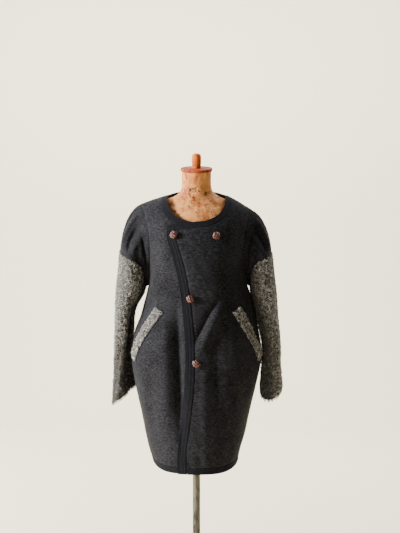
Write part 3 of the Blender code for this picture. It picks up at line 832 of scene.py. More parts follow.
@dataclass(frozen=True)
class BodySurface:
    """Inner face of the jacket's body, from the hem over the shoulders."""

    cloth: float = 0.0025
    band_rise: float = 0.0006
    lap_clearance: float = 0.0008
    underlap_sink: float = 0.0050
    underlap_fade: tuple[float, float] = (0.012, 0.035)
    underlap_top: tuple[float, float] = (1.18, 1.23)
    lap_fade: tuple[float, float] = (0.004, 0.045)
    lap_top: tuple[float, float] = (1.275, 1.335)
    edge_end: float = 1.29
    underarm: float = 1.065
    arch: float = 0.25
    squareness: float = 0.02
    back_squareness: float = 0.05
    shoulder_top: float = 1.366
    drop_right: float = 0.38
    drop_left: float = 0.66
    softness: float = 0.020
    shoulder_tip: float = 0.193
    nape_rise: float = 0.054
    neck_half: float = 0.098
    binding: float = 0.020
    neck_drop: float = math.radians(46.9)
    neck_drop_at_seam: float = math.radians(51.6)
    lap_drop: float = math.radians(3.0)
    nape_drop: float = math.radians(30.0)
    nape_drop_at_seam: float = math.radians(36.4)
    hem: float = 0.455
    hem_side_rise: float = 0.022
    hem_band: float = 0.021
    front_band: float = 0.029
    lap_corner: float = -0.096
    # height, right half, left half, front depth, back depth
    cuts: Array = table([
        (0.440, 0.136, 0.136, 0.134, 0.128), (0.480, 0.149, 0.141, 0.140, 0.134),
        (0.518, 0.161, 0.150, 0.144, 0.138), (0.560, 0.171, 0.163, 0.147, 0.141),
        (0.640, 0.187, 0.181, 0.151, 0.145), (0.715, 0.204, 0.199, 0.152, 0.146),
        (0.770, 0.214, 0.212, 0.151, 0.144), (0.830, 0.220, 0.2215, 0.150, 0.141),
        (0.915, 0.205, 0.208, 0.146, 0.133), (0.960, 0.187, 0.200, 0.142, 0.126),
        (1.010, 0.175, 0.190, 0.139, 0.121), (1.065, 0.162, 0.172, 0.137, 0.118),
    ])
    # share of the arch, degrees from the front, right half width, left half width
    armholes: Array = table([
        (0.0, 90.0, 0.162, 0.172), (0.1, 78.0, 0.159, 0.164), (0.2, 68.0, 0.157, 0.160),
        (0.3, 62.0, 0.157, 0.158), (0.4, 60.0, 0.160, 0.160), (0.5, 60.5, 0.165, 0.165),
        (0.7, 64.0, 0.179, 0.179), (0.85, 67.0, 0.188, 0.188), (1.0, 70.0, 0.193, 0.193),
    ])
    # height and place across of the overlapping front's free edge
    edge: Array = table([
        (0.430, -0.058), (0.466, -0.059), (0.525, -0.060), (0.562, -0.056), (0.610, -0.049),
        (0.664, -0.043), (0.710, -0.0375), (0.770, -0.034), (0.831, -0.033), (0.893, -0.035),
        (0.961, -0.041), (1.037, -0.050), (1.088, -0.059), (1.131, -0.069), (1.174, -0.081),
        (1.215, -0.094), (1.256, -0.096), (1.300, -0.096),
    ])
    front_folds: tuple[Fold, ...] = (
        Fold((-0.074, 0.980), (-0.052, 0.640), 0.020, 0.010),
        Fold((0.060, 1.005), (-0.004, 0.880), 0.016, 0.005),
        Fold((0.078, 1.000), (0.010, 0.840), 0.018, -0.005),
        Fold((0.060, 0.900), (0.075, 0.560), 0.022, 0.005),
        Fold((-0.120, 0.880), (-0.100, 0.560), 0.025, -0.004),
        Fold((-0.060, 1.000), (-0.049, 0.540), 0.017, 0.0085, 0.004, 0.35),
        Fold((-0.098, 0.960), (-0.088, 0.600), 0.016, -0.0040, 0.004),
        Fold((0.070, 1.016), (-0.002, 0.885), 0.0075, 0.0060, 0.003, 0.45),
        Fold((0.082, 1.002), (0.008, 0.850), 0.0095, -0.0042),
        Fold((0.094, 1.170), (0.068, 1.010), 0.012, 0.0026, -0.004),
        Fold((0.026, 0.800), (0.030, 0.545), 0.014, -0.0030, 0.003),
        Fold((0.064, 0.940), (0.060, 0.700), 0.013, 0.0030, 0.004),
        Fold((0.126, 0.955), (0.118, 0.780), 0.010, -0.0024, 0.003),
        Fold((0.137, 0.790), (0.125, 0.640), 0.011, -0.0022, -0.003),
        Fold((0.100, 0.700), (0.092, 0.520), 0.014, 0.0020),
        Fold((-0.150, 0.760), (-0.125, 0.560), 0.014, 0.0018, 0.004),
        Fold((-0.102, 1.130), (-0.128, 0.960), 0.014, -0.0014, 0.004),
        Fold((-0.010, 1.190), (0.036, 1.080), 0.012, 0.0014, 0.003),
        Fold((-0.058, 1.212), (-0.020, 1.120), 0.010, -0.0012),
        Fold((-0.022, 0.515), (-0.020, 0.480), 0.0045, 0.0012),
        Fold((-0.005, 0.520), (-0.004, 0.480), 0.0045, -0.0016),
        Fold((0.012, 0.512), (0.014, 0.480), 0.0040, 0.0014),
        Fold((0.028, 0.516), (0.031, 0.480), 0.0045, -0.0016),
        Fold((0.045, 0.518), (0.049, 0.480), 0.0045, 0.0014),
        Fold((0.060, 0.512), (0.064, 0.480), 0.0040, -0.0012),
    )
    back_folds: tuple[Fold, ...] = (
        Fold((0.018, 1.020), (-0.022, 0.700), 0.022, 0.0040, 0.006),
        Fold((-0.055, 0.960), (-0.075, 0.560), 0.024, -0.0035, -0.005),
        Fold((0.070, 0.900), (0.060, 0.540), 0.020, 0.0036, 0.004),
        Fold((0.110, 1.050), (0.060, 0.860), 0.016, 0.0030, 0.005, 0.35),
        Fold((-0.120, 1.060), (-0.050, 0.900), 0.015, 0.0028, -0.004, -0.35),
        Fold((-0.110, 0.800), (-0.100, 0.560), 0.016, 0.0024, 0.003),
        Fold((0.120, 0.780), (0.104, 0.580), 0.015, -0.0026),
        Fold((0.000, 0.640), (0.004, 0.500), 0.016, -0.0024),
        Fold((-0.100, 1.190), (-0.118, 1.060), 0.014, 0.0022, 0.004),
        Fold((0.098, 1.200), (0.122, 1.070), 0.013, 0.0022, -0.004),
    )
    side_folds: tuple[Fold, ...] = (
        Fold((-0.020, 1.030), (-0.060, 0.930), 0.010, 0.0028, 0.003, 0.3),
        Fold((0.018, 1.035), (0.052, 0.930), 0.010, 0.0026, -0.003, -0.3),
        Fold((-0.005, 1.010), (-0.014, 0.880), 0.009, -0.0020),
        Fold((0.030, 0.820), (0.020, 0.580), 0.014, 0.0026, 0.004),
        Fold((-0.048, 0.740), (-0.036, 0.560), 0.013, 0.0024, -0.004),
    )
    unit_angle: Array = field(default_factory=lambda: np.linspace(-math.pi / 2, math.pi / 2, 1441))

    @property
    def lap_rise(self) -> float:
        """How far the overlapping front stands off the other one."""
        return self.cloth + self.band_rise + self.lap_clearance

    def outline(self, angle: Array, squareness: float) -> tuple[Array, Array]:
        """Unit cut of the body.

        Args:
            angle: 0 at the front.
            squareness: share of the third wave.

        Returns:
            Across, the sine, and backward, less the cosine, each with its third wave's share.
        """
        across = (np.sin(angle) + squareness * np.sin(3 * angle)) / (1 - squareness)
        backward = -(np.cos(angle) - squareness * np.cos(3 * angle)) / (1 - squareness)
        return across, backward

    def turn(self, rise: Array) -> Array:
        """Angle turned over the shoulder at a rise."""
        return np.maximum(rise - self.underarm, 0.0) / self.arch

    def armhole_angle(self, turn: Array) -> Array:
        """Angle from the front or back where a turn of the arch meets the armhole."""
        return np.radians(curve_through(turn / (math.pi / 2), self.armholes[:, 0], self.armholes[:, 1]))

    def half_width(self, rise: Array, left: Array) -> Array:
        """Outside half width on one side.

        Args:
            rise: place up the body.
            left: whether it is the wearer's left side.

        Returns:
            The cuts' width up to the underarm; above it the armhole's reach over the unit cut.
        """
        low = np.minimum(rise, self.underarm)
        skirt = np.where(
            left, curve_through(low, self.cuts[:, 0], self.cuts[:, 2]),
            curve_through(low, self.cuts[:, 0], self.cuts[:, 1]),
        )
        turn = self.turn(rise)
        share = turn / (math.pi / 2)
        reach = np.where(
            left, curve_through(share, self.armholes[:, 0], self.armholes[:, 3]),
            curve_through(share, self.armholes[:, 0], self.armholes[:, 2]),
        )
        arched = reach / self.outline(self.armhole_angle(turn), self.squareness)[0]
        return np.where(rise > self.underarm, arched, skirt)

    def shoulder_line(self, x: Array, back: Array) -> Array:
        """Height of the shoulder line.

        Args:
            x: place across.
            back: whether it is the back's, which rises to the nape.

        Returns:
            Level across the neck, then a slope that starts softly.
        """
        beyond = np.maximum(np.abs(x) - self.neck_half, 0.0)
        drop = np.where(x > 0, self.drop_left, self.drop_right)
        inside = np.maximum(1 - (x / self.neck_half) ** 2, 0.0)
        level = self.shoulder_top - drop * beyond**2 / (beyond + self.softness)
        return level + np.where(back, self.nape_rise * inside**1.3, 0.0)

    def __call__(self, angle: Array, rise: Array) -> Array:
        """Points of the inner face.

        Args:
            angle: 0 at the front and a quarter turn at the wearer's left side.
            rise: height up to the underarm; above it each arch length is one radian.

        Returns:
            Across by the unit cut times the half width; backward by the cut times the depth
            times the cosine of the turn; up by the sine of the turn times what is left to the
            shoulder line; then pressed in by the folds, square to the vertical.
        """
        angle, rise = np.broadcast_arrays(np.asarray(angle, float), np.asarray(rise, float))
        across, backward = self.outline(angle, self.squareness)
        back = backward > 0
        low = np.minimum(rise, self.underarm)
        turn = self.turn(rise)
        x = across * (self.half_width(rise, across > 0) - self.cloth)
        depth = np.where(
            back, curve_through(low, self.cuts[:, 0], self.cuts[:, 4]),
            curve_through(low, self.cuts[:, 0], self.cuts[:, 3]),
        )
        e = np.where(back, self.back_squareness, 0.0)
        y = backward * (depth - self.cloth) * (np.cos(turn) - e * np.cos(3 * turn)) / (1 - e)
        arched = (np.sin(turn) + e * np.sin(3 * turn)) / (1 - e)
        z = low + (self.shoulder_line(x, back) - self.cloth - self.underarm) * arched
        facing = smooth_step(np.abs(backward), 0.12, 0.45)
        inward = np.where(back, pressed(self.back_folds, x, z) * facing, pressed(self.front_folds, x, z))
        inward = inward + pressed(self.side_folds, y, z) * smooth_step(np.abs(across), 0.80, 0.97)
        return np.stack([x - inward * np.sin(angle), y + inward * np.cos(angle), z], axis=-1)

    def normals(self, angle: Array, rise: Array) -> Array:
        """Outward normals of the body."""
        return surface_normals(self, angle, rise)

    def front_angle(self, x: Array, rise: Array) -> Array:
        """Angle of the front at which the outside reaches across to x."""
        across = self.outline(self.unit_angle, self.squareness)[0]
        return np.interp(x / self.half_width(rise, x > 0), across, self.unit_angle)

    def front_stop(self, x: Array, side: Side, at_seam: bool = True) -> Array:
        """Turn of the arch where a front ends.

        Args:
            x: place across.
            side: which front.
            at_seam: at the neck seam, or else at the neckline.

        Returns:
            A quarter turn less the drop, which fades as a fifth root towards the shoulder.
        """
        own = x * side.value
        half = self.neck_half + (self.binding if at_seam else 0.0)
        drop = self.neck_drop_at_seam if at_seam else self.neck_drop
        inside = np.clip(1 - (own / half) ** 2, 0.0, 1.0)
        lap = drop + self.lap_drop * np.minimum(-own / self.neck_half, 1.0)
        return math.pi / 2 - np.where(own > 0, drop * inside**0.2, lap)

    def back_stop(self, x: Array, at_seam: bool = True) -> Array:
        """Turn of the arch where the back ends.

        Args:
            x: place across.
            at_seam: at the neck seam, or else at the neckline.

        Returns:
            A quarter turn less the drop, which fades as a power towards the shoulder.
        """
        half = self.neck_half + (self.binding if at_seam else 0.0)
        drop = self.nape_drop_at_seam if at_seam else self.nape_drop
        inside = np.clip(1 - (x / half) ** 2, 0.0, 1.0)
        return math.pi / 2 - drop * inside**0.75

    def hem_height(self, angle: Array) -> Array:
        """Height of the lower edge, higher at the sides by the sixth power of the sine."""
        return self.hem + self.hem_side_rise * np.sin(angle) ** 6

    def lap_edge(self, height: Array, side: Side) -> Array:
        """Place across of a front's free edge; the right front mirrors the left one."""
        return side.value * curve_through(height, self.edge[:, 0], self.edge[:, 1])

    def lap_offset(self, points: Array, side: Side) -> Array:
        """Distance of a front from the body's surface.

        Args:
            points: places on the surface.
            side: which front.

        Returns:
            Above 0 where the left front laps, below 0 where the right one lies under it.
        """
        x, z = points[..., 0], points[..., 2]
        if side is Side.RIGHT:
            covering = self.lap_edge(np.minimum(z, self.edge_end), Side.LEFT)
            hidden = smooth_step(x - covering, *self.underlap_fade)
            return -self.underlap_sink * hidden * (1 - smooth_step(z, *self.underlap_top))
        covered = self.lap_edge(np.minimum(z, self.edge_end), Side.RIGHT)
        lap = 1 - smooth_step(x - covered, *self.lap_fade)
        return self.lap_rise * lap * (1 - smooth_step(z, *self.lap_top))

    def from_edge(self, side: Side, inset: float) -> Callable[[Array], Array]:
        """Line along a front's free edge.

        Args:
            side: which front.
            inset: distance in from the edge.

        Returns:
            A function from a rise to the line's angle.
        """
        span = self.shoulder_top - self.underarm

        def at(rise: Array) -> Array:
            """Angle of the line at a rise."""
            height = np.minimum(rise, self.underarm) + span * np.sin(self.turn(rise))
            return self.front_angle(self.lap_edge(height, side) + side.value * inset, rise)

        return at


@dataclass(frozen=True)
class SleeveSurface:
    """Inner face of one looped sleeve, an oval tube with pressed creases."""

    side: Side
    # height, outer edge, inner edge, centre forward, half depth
    cuts: Array
    seam: Sequence[float]
    cuff: tuple[float, float, float]
    folds: tuple[Fold, ...]
    turned_out: float
    # painted shade on the yarn: on the face turned to the body (inner_shade) and toward the cuff (low_shade)
    inner_shade: float
    low_shade: float
    cloth: float = 0.0030
    turn_from: float = 1.03
    turn_full: float = 0.80
    # where the painted shade falls down and round the sleeve
    shade_top: float = 1.14
    shade_fall: float = 0.42
    shade_degrees: tuple[float, float] = (132.0, 74.0)
    shade_fade: float = 0.55
    low_from: float = 0.90
    low_fall: float = 0.18
    around: float = 0.045
    seam_degrees: Sequence[float] = (0, 45, 90, 130, 155, 180, 205, 230, 270, 315, 360)

    def __call__(self, angle: Array, height: Array) -> Array:
        """Points of the inner face: an oval of the two edges and the depth, less the folds' depth.

        Below the elbow the front ridge is turned outward by up to turned_out degrees.

        Args:
            angle: turn round the tube, 0 at the outer edge and a quarter turn at the front.
            height: height above the floor.

        Returns:
            Points, one for each of the two arrays' places.
        """
        angle, height = np.broadcast_arrays(np.asarray(angle, float), np.asarray(height, float))
        sizes = (curve_through(height, self.cuts[:, 0], self.cuts[:, k]) for k in range(1, 5))
        outer, inner, forward, depth = sizes
        round_it = np.mod(angle, 2 * math.pi) * self.around
        inward = pressed(self.folds, round_it, height)
        x = (outer + inner) / 2 + ((outer - inner) / 2 - self.cloth - inward) * np.cos(angle)
        below = smooth_step(self.turn_from - height, 0.0, self.turn_from - self.turn_full)
        turn = math.radians(self.turned_out) * below
        y = forward - (depth - self.cloth - inward) * np.sin(angle + turn)
        return np.stack([self.side.value * x, y, height], axis=-1)

    def normals(self, angle: Array, height: Array) -> Array:
        """Outward normals of the tube."""
        return -self.side.value * surface_normals(self, angle, height)

    def darker(self, angle: Array, height: Array) -> Array:
        """Share of painted shade on the yarn, on the face turned to the body and near the cuff.

        Args:
            angle: turn round the tube.
            height: height above the floor.

        Returns:
            A smooth step past an angle that moves outward down the sleeve and fades over the
            back, with a second step toward the cuff.
        """
        down = smooth_step(self.shade_top - height, 0.0, self.shade_fall)
        high_edge, low_edge = self.shade_degrees
        edge = np.radians(high_edge - (high_edge - low_edge) * down)
        over_back = smooth_step(angle, math.pi + 0.2, math.pi + 1.0)
        inner = smooth_step(angle, edge, edge + self.shade_fade) * (1 - over_back)
        low = smooth_step(self.low_from - height, 0.0, self.low_fall)
        return np.clip(self.inner_shade * inner + self.low_shade * low, 0.0, 1.0)

    def seam_height(self, angle: Array) -> Array:
        """Height of the joining seam, a cubic through its levels round the sleeve."""
        return curve_through(np.mod(angle, 2 * math.pi), np.radians(self.seam_degrees), np.array(self.seam))

    def cuff_height(self, angle: Array) -> Array:
        """Height of the cuff's edge: a level with one wave round the sleeve."""
        level, outward, forward = self.cuff
        return level + outward * np.cos(angle) + forward * np.sin(angle)


@dataclass(frozen=True)
class UpperSleeveSurface:
    """Inner face of one upper sleeve, from the joining seam (0) up to the armhole (1)."""

    body: BodySurface
    sleeve: SleeveSurface
    folds: tuple[Fold, ...]
    fall: tuple[float, float, float] = (0.85, 0.30, -0.50)

    def armhole(self, angle: Array) -> tuple[Array, Array, Array]:
        """The armhole.

        Args:
            angle: turn round it, with half a turn at the underarm.

        Returns:
            Its points with their angle and rise on the body.
        """
        side = self.sleeve.side.value
        angle = np.mod(angle, 2 * math.pi)
        turn = np.abs(math.pi - angle) / 2
        reach = self.body.armhole_angle(turn)
        round_body = np.where(angle <= math.pi, side * reach, side * (math.pi - reach))
        rise = self.body.underarm + self.body.arch * turn
        return self.body(round_body, rise), round_body, rise

    def __call__(self, angle: Array, share: Array) -> Array:
        """Points of the inner face.

        Args:
            angle: turn round the sleeve.
            share: 0 at the joining seam, 1 at the armhole.

        Returns:
            The cubic that leaves the armhole outward and arrives in line with the looped sleeve,
            pressed in by the folds.
        """
        angle, share = np.broadcast_arrays(np.asarray(angle, float), np.asarray(share, float))
        side = self.sleeve.side.value
        start = self.armhole(angle)[0]
        height = self.sleeve.seam_height(angle)
        end = self.sleeve(angle, height)
        length = np.linalg.norm(end - start, axis=-1)
        outward, aside, upward = self.fall
        leave = np.stack(
            [side * outward * length, aside * np.sin(angle) * length, upward * length], axis=-1
        )
        arrive = (self.sleeve(angle, height - SMALL) - end) / SMALL * length[..., None]
        f = 1 - share[..., None]
        rise = end - start
        square, cube = 3 * rise - 2 * leave - arrive, leave + arrive - 2 * rise
        points = start + f * leave + f**2 * square + f**3 * cube
        middle = np.array([side * 0.215, 0.0, 0.0])
        inward = unit((middle - points) * np.array([1.0, 1.0, 0.0]))
        fade = smooth_step(share, 0.0, 0.25) * smooth_step(1 - share, 0.0, 0.16)
        depth = pressed(self.folds, np.mod(angle, 2 * math.pi) * 0.07, share * 0.13) * fade
        return points + inward * depth[..., None]

    def normals(self, angle: Array, share: Array) -> Array:
        """Outward normals of the upper sleeve."""
        return -self.sleeve.side.value * surface_normals(self, angle, share)

    def rim(self, angle: Array) -> Array:
        """Shared direction of the cut edges at the armhole.

        Args:
            angle: turn round the armhole.

        Returns:
            The mean of both pieces' normals, lengthened as a mitre.
        """
        _, round_body, rise = self.armhole(angle)
        of_body = self.body.normals(round_body, rise)
        of_sleeve = self.normals(angle, np.full_like(angle, 0.98))
        middle = unit(of_body + of_sleeve)
        return middle / np.maximum((middle * of_body).sum(axis=-1, keepdims=True), 0.55)


# Sewing


@dataclass
class Stitching:
    """Rows of short thread stitches, gathered from all pieces into one mesh."""

    length: float = 0.0032
    gap: float = 0.0011
    thread: float = 0.00034
    paths: list[Array] = field(default_factory=list)
    rises: list[Array] = field(default_factory=list)

    def add_row(self, line: Array, normals: Array) -> None:
        """Sew along a line.

        Args:
            line: points on the cloth's outer face.
            normals: the face's normals there.
        """
        along = np.concatenate([[0.0], np.cumsum(np.linalg.norm(np.diff(line, axis=0), axis=1))])
        pitch = self.length + self.gap
        starts = np.arange(pitch / 2, along[-1] - pitch, pitch)
        share = np.linspace(0.0, 1.0, 5)
        places = starts[:, None] + share * self.length
        point = np.stack([np.interp(places, along, line[:, k]) for k in range(3)], axis=-1)
        normal = unit(np.stack([np.interp(places, along, normals[:, k]) for k in range(3)], axis=-1))
        lift = self.thread * (1.5 * np.sin(math.pi * share) - 0.35)
        self.paths.append(point + normal * lift[:, None])
        self.rises.append(normal)

    def build(self, material: bpy.types.Material) -> None:
        """Make one mesh of all stitches, each a small tube that rises between its ends.

        Args:
            material: the thread's finish.
        """
        paths = np.concatenate(self.paths)
        radii = np.full(paths.shape[:2], self.thread)
        points, faces = tubes(paths, radii, 4, np.concatenate(self.rises), 0.8)
        piece = add_piece("stitching", points, faces, material, 180.0)
        log.info("stitching: %d stitches, %d faces", len(paths), len(piece.data.polygons))


@dataclass
class Cloths:
    """What all cloth pieces share: surfaces, finishes and the sewing."""

    body: BodySurface
    sleeves: dict[Side, SleeveSurface]
    uppers: dict[Side, UpperSleeveSurface]
    wool: bpy.types.Material
    binding: bpy.types.Material
    looped: bpy.types.Material
    yarn: bpy.types.Material
    stitching: Stitching
    seam: float = 0.00012
    seam_groove: tuple[float, float] = (0.0011, 0.0026)
    rim_ease: float = 0.008

    def panel(
        self, node: str, points: Array, normals: Array, outer: Array, material: bpy.types.Material,
        slot: Slot, offset: Array | float = 0.0,
    ) -> Array:
        """Make one cloth piece in the place of its solid.

        Args:
            node: the solid's name.
            points: grid on the surface.
            normals: its normals.
            outer: distance of the outer face from the inner one.
            material: its finish.
            slot: the record's slot; not used.
            offset: distance of the inner face from the surface.

        Returns:
            The grid of its outer face.
        """
        offset = np.broadcast_to(offset, points.shape[:-1])
        drawn = drawn_in(points, self.seam)
        inside = drawn + normals * offset[..., None]
        outside = drawn + normals * (offset + outer)[..., None]
        piece = wall(f"{node}_cloth", inside, outside, material)
        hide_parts(node)
        declare_cloth((inside + outside) / 2)
        return outside


@dataclass
class Fronts:
    """Both front panels with the band down the overlapping edge and the hem bands."""

    cloths: Cloths
    skirt_rows: Array = field(default_factory=lambda: np.linspace(0.0, 1.0, 108))
    arch_rows: Array = field(default_factory=lambda: np.linspace(0.0, 1.0, 58)[1:])
    neck_shares: Array = table([0.97, 0.91, 0.83, 0.74, 0.62, 0.50, 0.385, 0.27, 0.155, 0.0])
    stitch_places: tuple[float, float] = (0.36, 0.68)

    def neck_across(self, half: float) -> Array:
        """Places across round the front neck.

        Args:
            half: half the neck's width.

        Returns:
            Half the width times the root of one less the share's fifth power.
        """
        first = 1 - 0.03 * (np.arange(1, 7) / 6) ** 2
        shares = np.concatenate([first, finer(self.neck_shares, 4)[1:]])
        return half * np.sqrt(1 - shares**5)

    def top(self, side: Side, start: float, count: int) -> Array:
        """Places across of the columns on the last row.

        Args:
            side: which front.
            start: place of the free edge.
            count: columns on the lap.

        Returns:
            Places on the lap, the neck and the shoulder up to its tip.
        """
        body = self.cloths.body
        half = body.neck_half + body.binding
        shoulder = np.linspace(half, body.shoulder_tip, 22)[1:]
        lap = np.linspace(start, 0.0, count)
        return side.value * np.concatenate([lap, self.neck_across(half), shoulder])

    def grid(
        self, inner_edge: Callable[[Array], Array], top: Array, crossing: int, side: Side, back: bool = False
    ) -> tuple[Array, Array]:
        """Angles and rises of a panel's points.

        Args:
            inner_edge: angle of the first column at a rise.
            top: places across of the columns on the last row.
            crossing: number of columns up to the middle of the neck.
            side: which side the panel is on.
            back: whether it is half of the back.

        Returns:
            Two grids, columns by rows. Columns run straight from the underarm level to the last
            row, plus what the two side borders bend away from such a line.
        """
        body = self.cloths.body
        top_turn = body.back_stop(top) if back else body.front_stop(top, side)
        top_angle = body.front_angle(top, body.underarm + body.arch * top_turn)
        crowded = (top_angle - top_angle[0]) / (top_angle[-1] - top_angle[0])
        spread = np.linspace(crowded[crossing - 1], 1.0, len(top) - crossing + 1)[1:]
        columns = np.concatenate([crowded[:crossing], spread])
        even = np.linspace(0.0, 1.0, len(top))
        angles, rises = [], []
        low = body.hem + body.hem_band
        for share in self.skirt_rows:
            start = inner_edge(low + (body.underarm - low) * share)
            angle = start + (side.value * math.pi / 2 - start) * columns
            bottom = body.hem_height(angle) + body.hem_band
            angles.append(angle)
            rises.append(bottom + (body.underarm - bottom) * share)
        low_angle = angles[-1]
        for share in self.arch_rows:
            rise = body.underarm + body.arch * share * top_turn
            straight = low_angle + (top_angle - low_angle) * share
            inner_bend = inner_edge(rise[0]) - straight[0]
            outer_bend = side.value * body.armhole_angle(np.array(share * math.pi / 2)) - straight[-1]
            angles.append(straight + (1 - even) * inner_bend + even**3 * outer_bend)
            rises.append(rise)
        return np.transpose(angles), np.transpose(rises)

    def rim_normals(self, angles: Array, rises: Array, side: Side) -> Array:
        """Normals of a panel, eased into the shared direction towards the armhole.

        Args:
            angles: grid of angles.
            rises: grid of rises.
            side: which side it is on.

        Returns:
            The normals, blended by a bell of the distance from the armhole.
        """
        body = self.cloths.body
        normals = body.normals(angles, rises)
        first = len(self.skirt_rows) - 1
        turn = body.turn(rises[-1, first:])
        back = np.abs(angles[-1, first:]) > math.pi / 2
        ring = np.where(back, math.pi + 2 * turn, math.pi - 2 * turn)
        shared = self.cloths.uppers[side].rim(ring)
        distance = Borders.of(body(angles, rises)).last_column[:, first:, None]
        weight = np.exp(-((distance / self.cloths.rim_ease) ** 2))
        normals[:, first:] = normals[:, first:] * (1 - weight) + shared[None] * weight
        return normals

    def build(self) -> None:
        """Make both fronts, the band and the hem bands."""
        body, cloths = self.cloths.body, self.cloths
        for side, inset, count in ((Side.RIGHT, 0.0, 26), (Side.LEFT, body.front_band, 18)):
            start = body.lap_corner + inset
            top = self.top(side, start, count)
            angles, rises = self.grid(body.from_edge(side, inset), top, count, side)
            points = body(angles, rises)
            borders = Borders.of(points)
            seams = ["first_row", "last_row", "last_column"] + ["first_column"] * (side is Side.LEFT)
            outer = body.cloth - borders.groove(*cloths.seam_groove, *seams)
            outer = outer + 0.00022 * ripple(points, 0.018, 5)
            offset = body.lap_offset(points, side)
            normals = self.rim_normals(angles, rises, side)
            cloths.panel(f"front_{side.word}", points, normals, outer, cloths.wool, Slot.WOOL, offset)
            self.hem_band(side, angles[:, 0])
            if side is Side.LEFT:
                self.band(angles[0], rises[0])

    def hem_band(self, side: Side, low_angles: Array) -> None:
        """Make a front's hem band: a rolled lower edge, a stitched groove and small puckers.

        Args:
            side: which front.
            low_angles: angles of the panel's columns at the band.
        """
        body, cloths = self.cloths.body, self.cloths
        share = np.linspace(0.0, 1.0, 13)
        angles = np.repeat(low_angles[:, None], len(share), axis=1)
        rises = body.hem_height(angles) + body.hem_band * share
        points = body(angles, rises)
        normals = body.normals(angles, rises)
        offset = body.lap_offset(points, side)
        outer = body.cloth + body.band_rise * (side is Side.LEFT) + self.hem_profile(points, share)
        node = f"hem_band_{side.word}"
        outside = cloths.panel(node, points, normals, outer, cloths.binding, Slot.BINDING, offset)
        row = int(len(share) * 0.75)
        cloths.stitching.add_row(outside[2:-1, row], normals[2:-1, row])

    def hem_profile(self, points: Array, share: Array) -> Array:
        """Relief of a hem band.

        Args:
            points: grid on the surface.
            share: place up the band.

        Returns:
            A roll at the edge, a groove near the seam and uneven pull between the stitches.
        """
        roll = 0.0010 * np.exp(-((share / 0.16) ** 2)) - 0.0009 * np.exp(-(((share - 1) / 0.10) ** 2))
        groove = -0.0005 * np.exp(-(((share - 0.76) / 0.07) ** 2))
        pull = 0.00035 * ripple(points * np.array([1.0, 1.0, 0.3]), 0.011, 9)
        return roll + groove + pull

    def band(self, inner_angles: Array, rises: Array) -> None:
        """Make the band down the free edge, with a rolled edge and two stitched grooves.

        Args:
            inner_angles: angles of the left front's first column.
            rises: rises of that column.
        """
        body, cloths = self.cloths.body, self.cloths
        low = np.linspace(body.hem, body.hem + body.hem_band, 7)[:-1]
        inner_low = body.from_edge(Side.LEFT, body.front_band)(low)
        rises = np.concatenate([low, rises])
        inner_angles = np.concatenate([inner_low, inner_angles])
        edge = body.from_edge(Side.LEFT, 0.0)(rises)
        share = np.linspace(0.0, 1.0, 25)
        angles = edge + (inner_angles - edge) * share[:, None]
        rows = np.repeat(rises[None], len(share), axis=0)
        top = body.lap_corner + body.front_band * share
        top_rise = body.underarm + body.arch * body.front_stop(top, Side.LEFT)
        top_angle = body.front_angle(top, top_rise)
        reach = np.linspace(0.0, 1.0, 12)[1:]
        rows[:, -11:] = rows[:, -12:-11] + (top_rise[:, None] - rows[:, -12:-11]) * reach
        angles[:, -11:] += (top_angle - angles[:, -1])[:, None] * reach**2
        points = body(angles, rows)
        normals = body.normals(angles, rows)
        across = share[:, None]
        roll = 0.0011 * np.exp(-((across / 0.10) ** 2))
        near = [np.exp(-(((across - place) / 0.045) ** 2)) for place in self.stitch_places]
        grooves = -0.0008 * sum(near)
        seam = -0.0010 * np.exp(-(((across - 1) / 0.07) ** 2))
        pull = 0.00022 * ripple(points, 0.014, 12)
        outer = body.cloth + body.band_rise + roll + grooves + seam + pull
        offset = body.lap_offset(points, Side.LEFT)
        outside = cloths.panel("front_band", points, normals, outer, cloths.binding, Slot.BINDING, offset)
        for place in self.stitch_places:
            column = round(place * (len(share) - 1))
            cloths.stitching.add_row(outside[column, 2:-2], normals[column, 2:-2])


@dataclass
class Back:
    """The back panel with its hem band."""

    fronts: Fronts
    neck_shares: Array = table([0.95, 0.85, 0.72, 0.58, 0.44, 0.30, 0.15, 0.0])

    def neck_across(self, half: float) -> Array:
        """Places across from the nape.

        Args:
            half: half the neck's width.

        Returns:
            Half the width times the root of one less a power of the share.
        """
        first = 1 - 0.05 * (np.arange(0, 5) / 5) ** 2
        shares = np.concatenate([first, finer(self.neck_shares, 4)])
        return half * np.sqrt(1 - shares ** (1 / 0.75))

    def build(self) -> None:
        """Make the back from two mirrored halves joined at its middle, and the hem band."""
        cloths = self.fronts.cloths
        body = cloths.body
        half = body.neck_half + body.binding
        shoulder = np.linspace(half, body.shoulder_tip, 22)[1:]
        top = np.concatenate([self.neck_across(half), shoulder])
        halves = {}
        for side in Side:
            angles, rises = self.fronts.grid(np.zeros_like, side.value * top, 1, side, back=True)
            angles = side.value * math.pi - angles
            halves[side] = (angles, rises, self.fronts.rim_normals(angles, rises, side))
        left, right = halves[Side.LEFT], halves[Side.RIGHT]
        angles = np.concatenate([left[0][::-1], right[0][1:] + 2 * math.pi])
        rises = np.concatenate([left[1][::-1], right[1][1:]])
        normals = np.concatenate([left[2][::-1], right[2][1:]])
        points = body(angles, rises)
        borders = Borders.of(points)
        outer = body.cloth - borders.groove(*cloths.seam_groove, *EVERY_BORDER)
        outer = outer + 0.00022 * ripple(points, 0.018, 6)
        cloths.panel("back", points, normals, outer, cloths.wool, Slot.WOOL)
        share = np.linspace(0.0, 1.0, 13)
        low = np.repeat(angles[:, :1], len(share), axis=1)
        rises = body.hem_height(low) + body.hem_band * share
        points = body(low, rises)
        normals = body.normals(low, rises)
        outer = body.cloth + body.band_rise + self.fronts.hem_profile(points, share)
        outside = cloths.panel("hem_band_back", points, normals, outer, cloths.binding, Slot.BINDING)
        cloths.stitching.add_row(outside[2:-2, 9], normals[2:-2, 9])


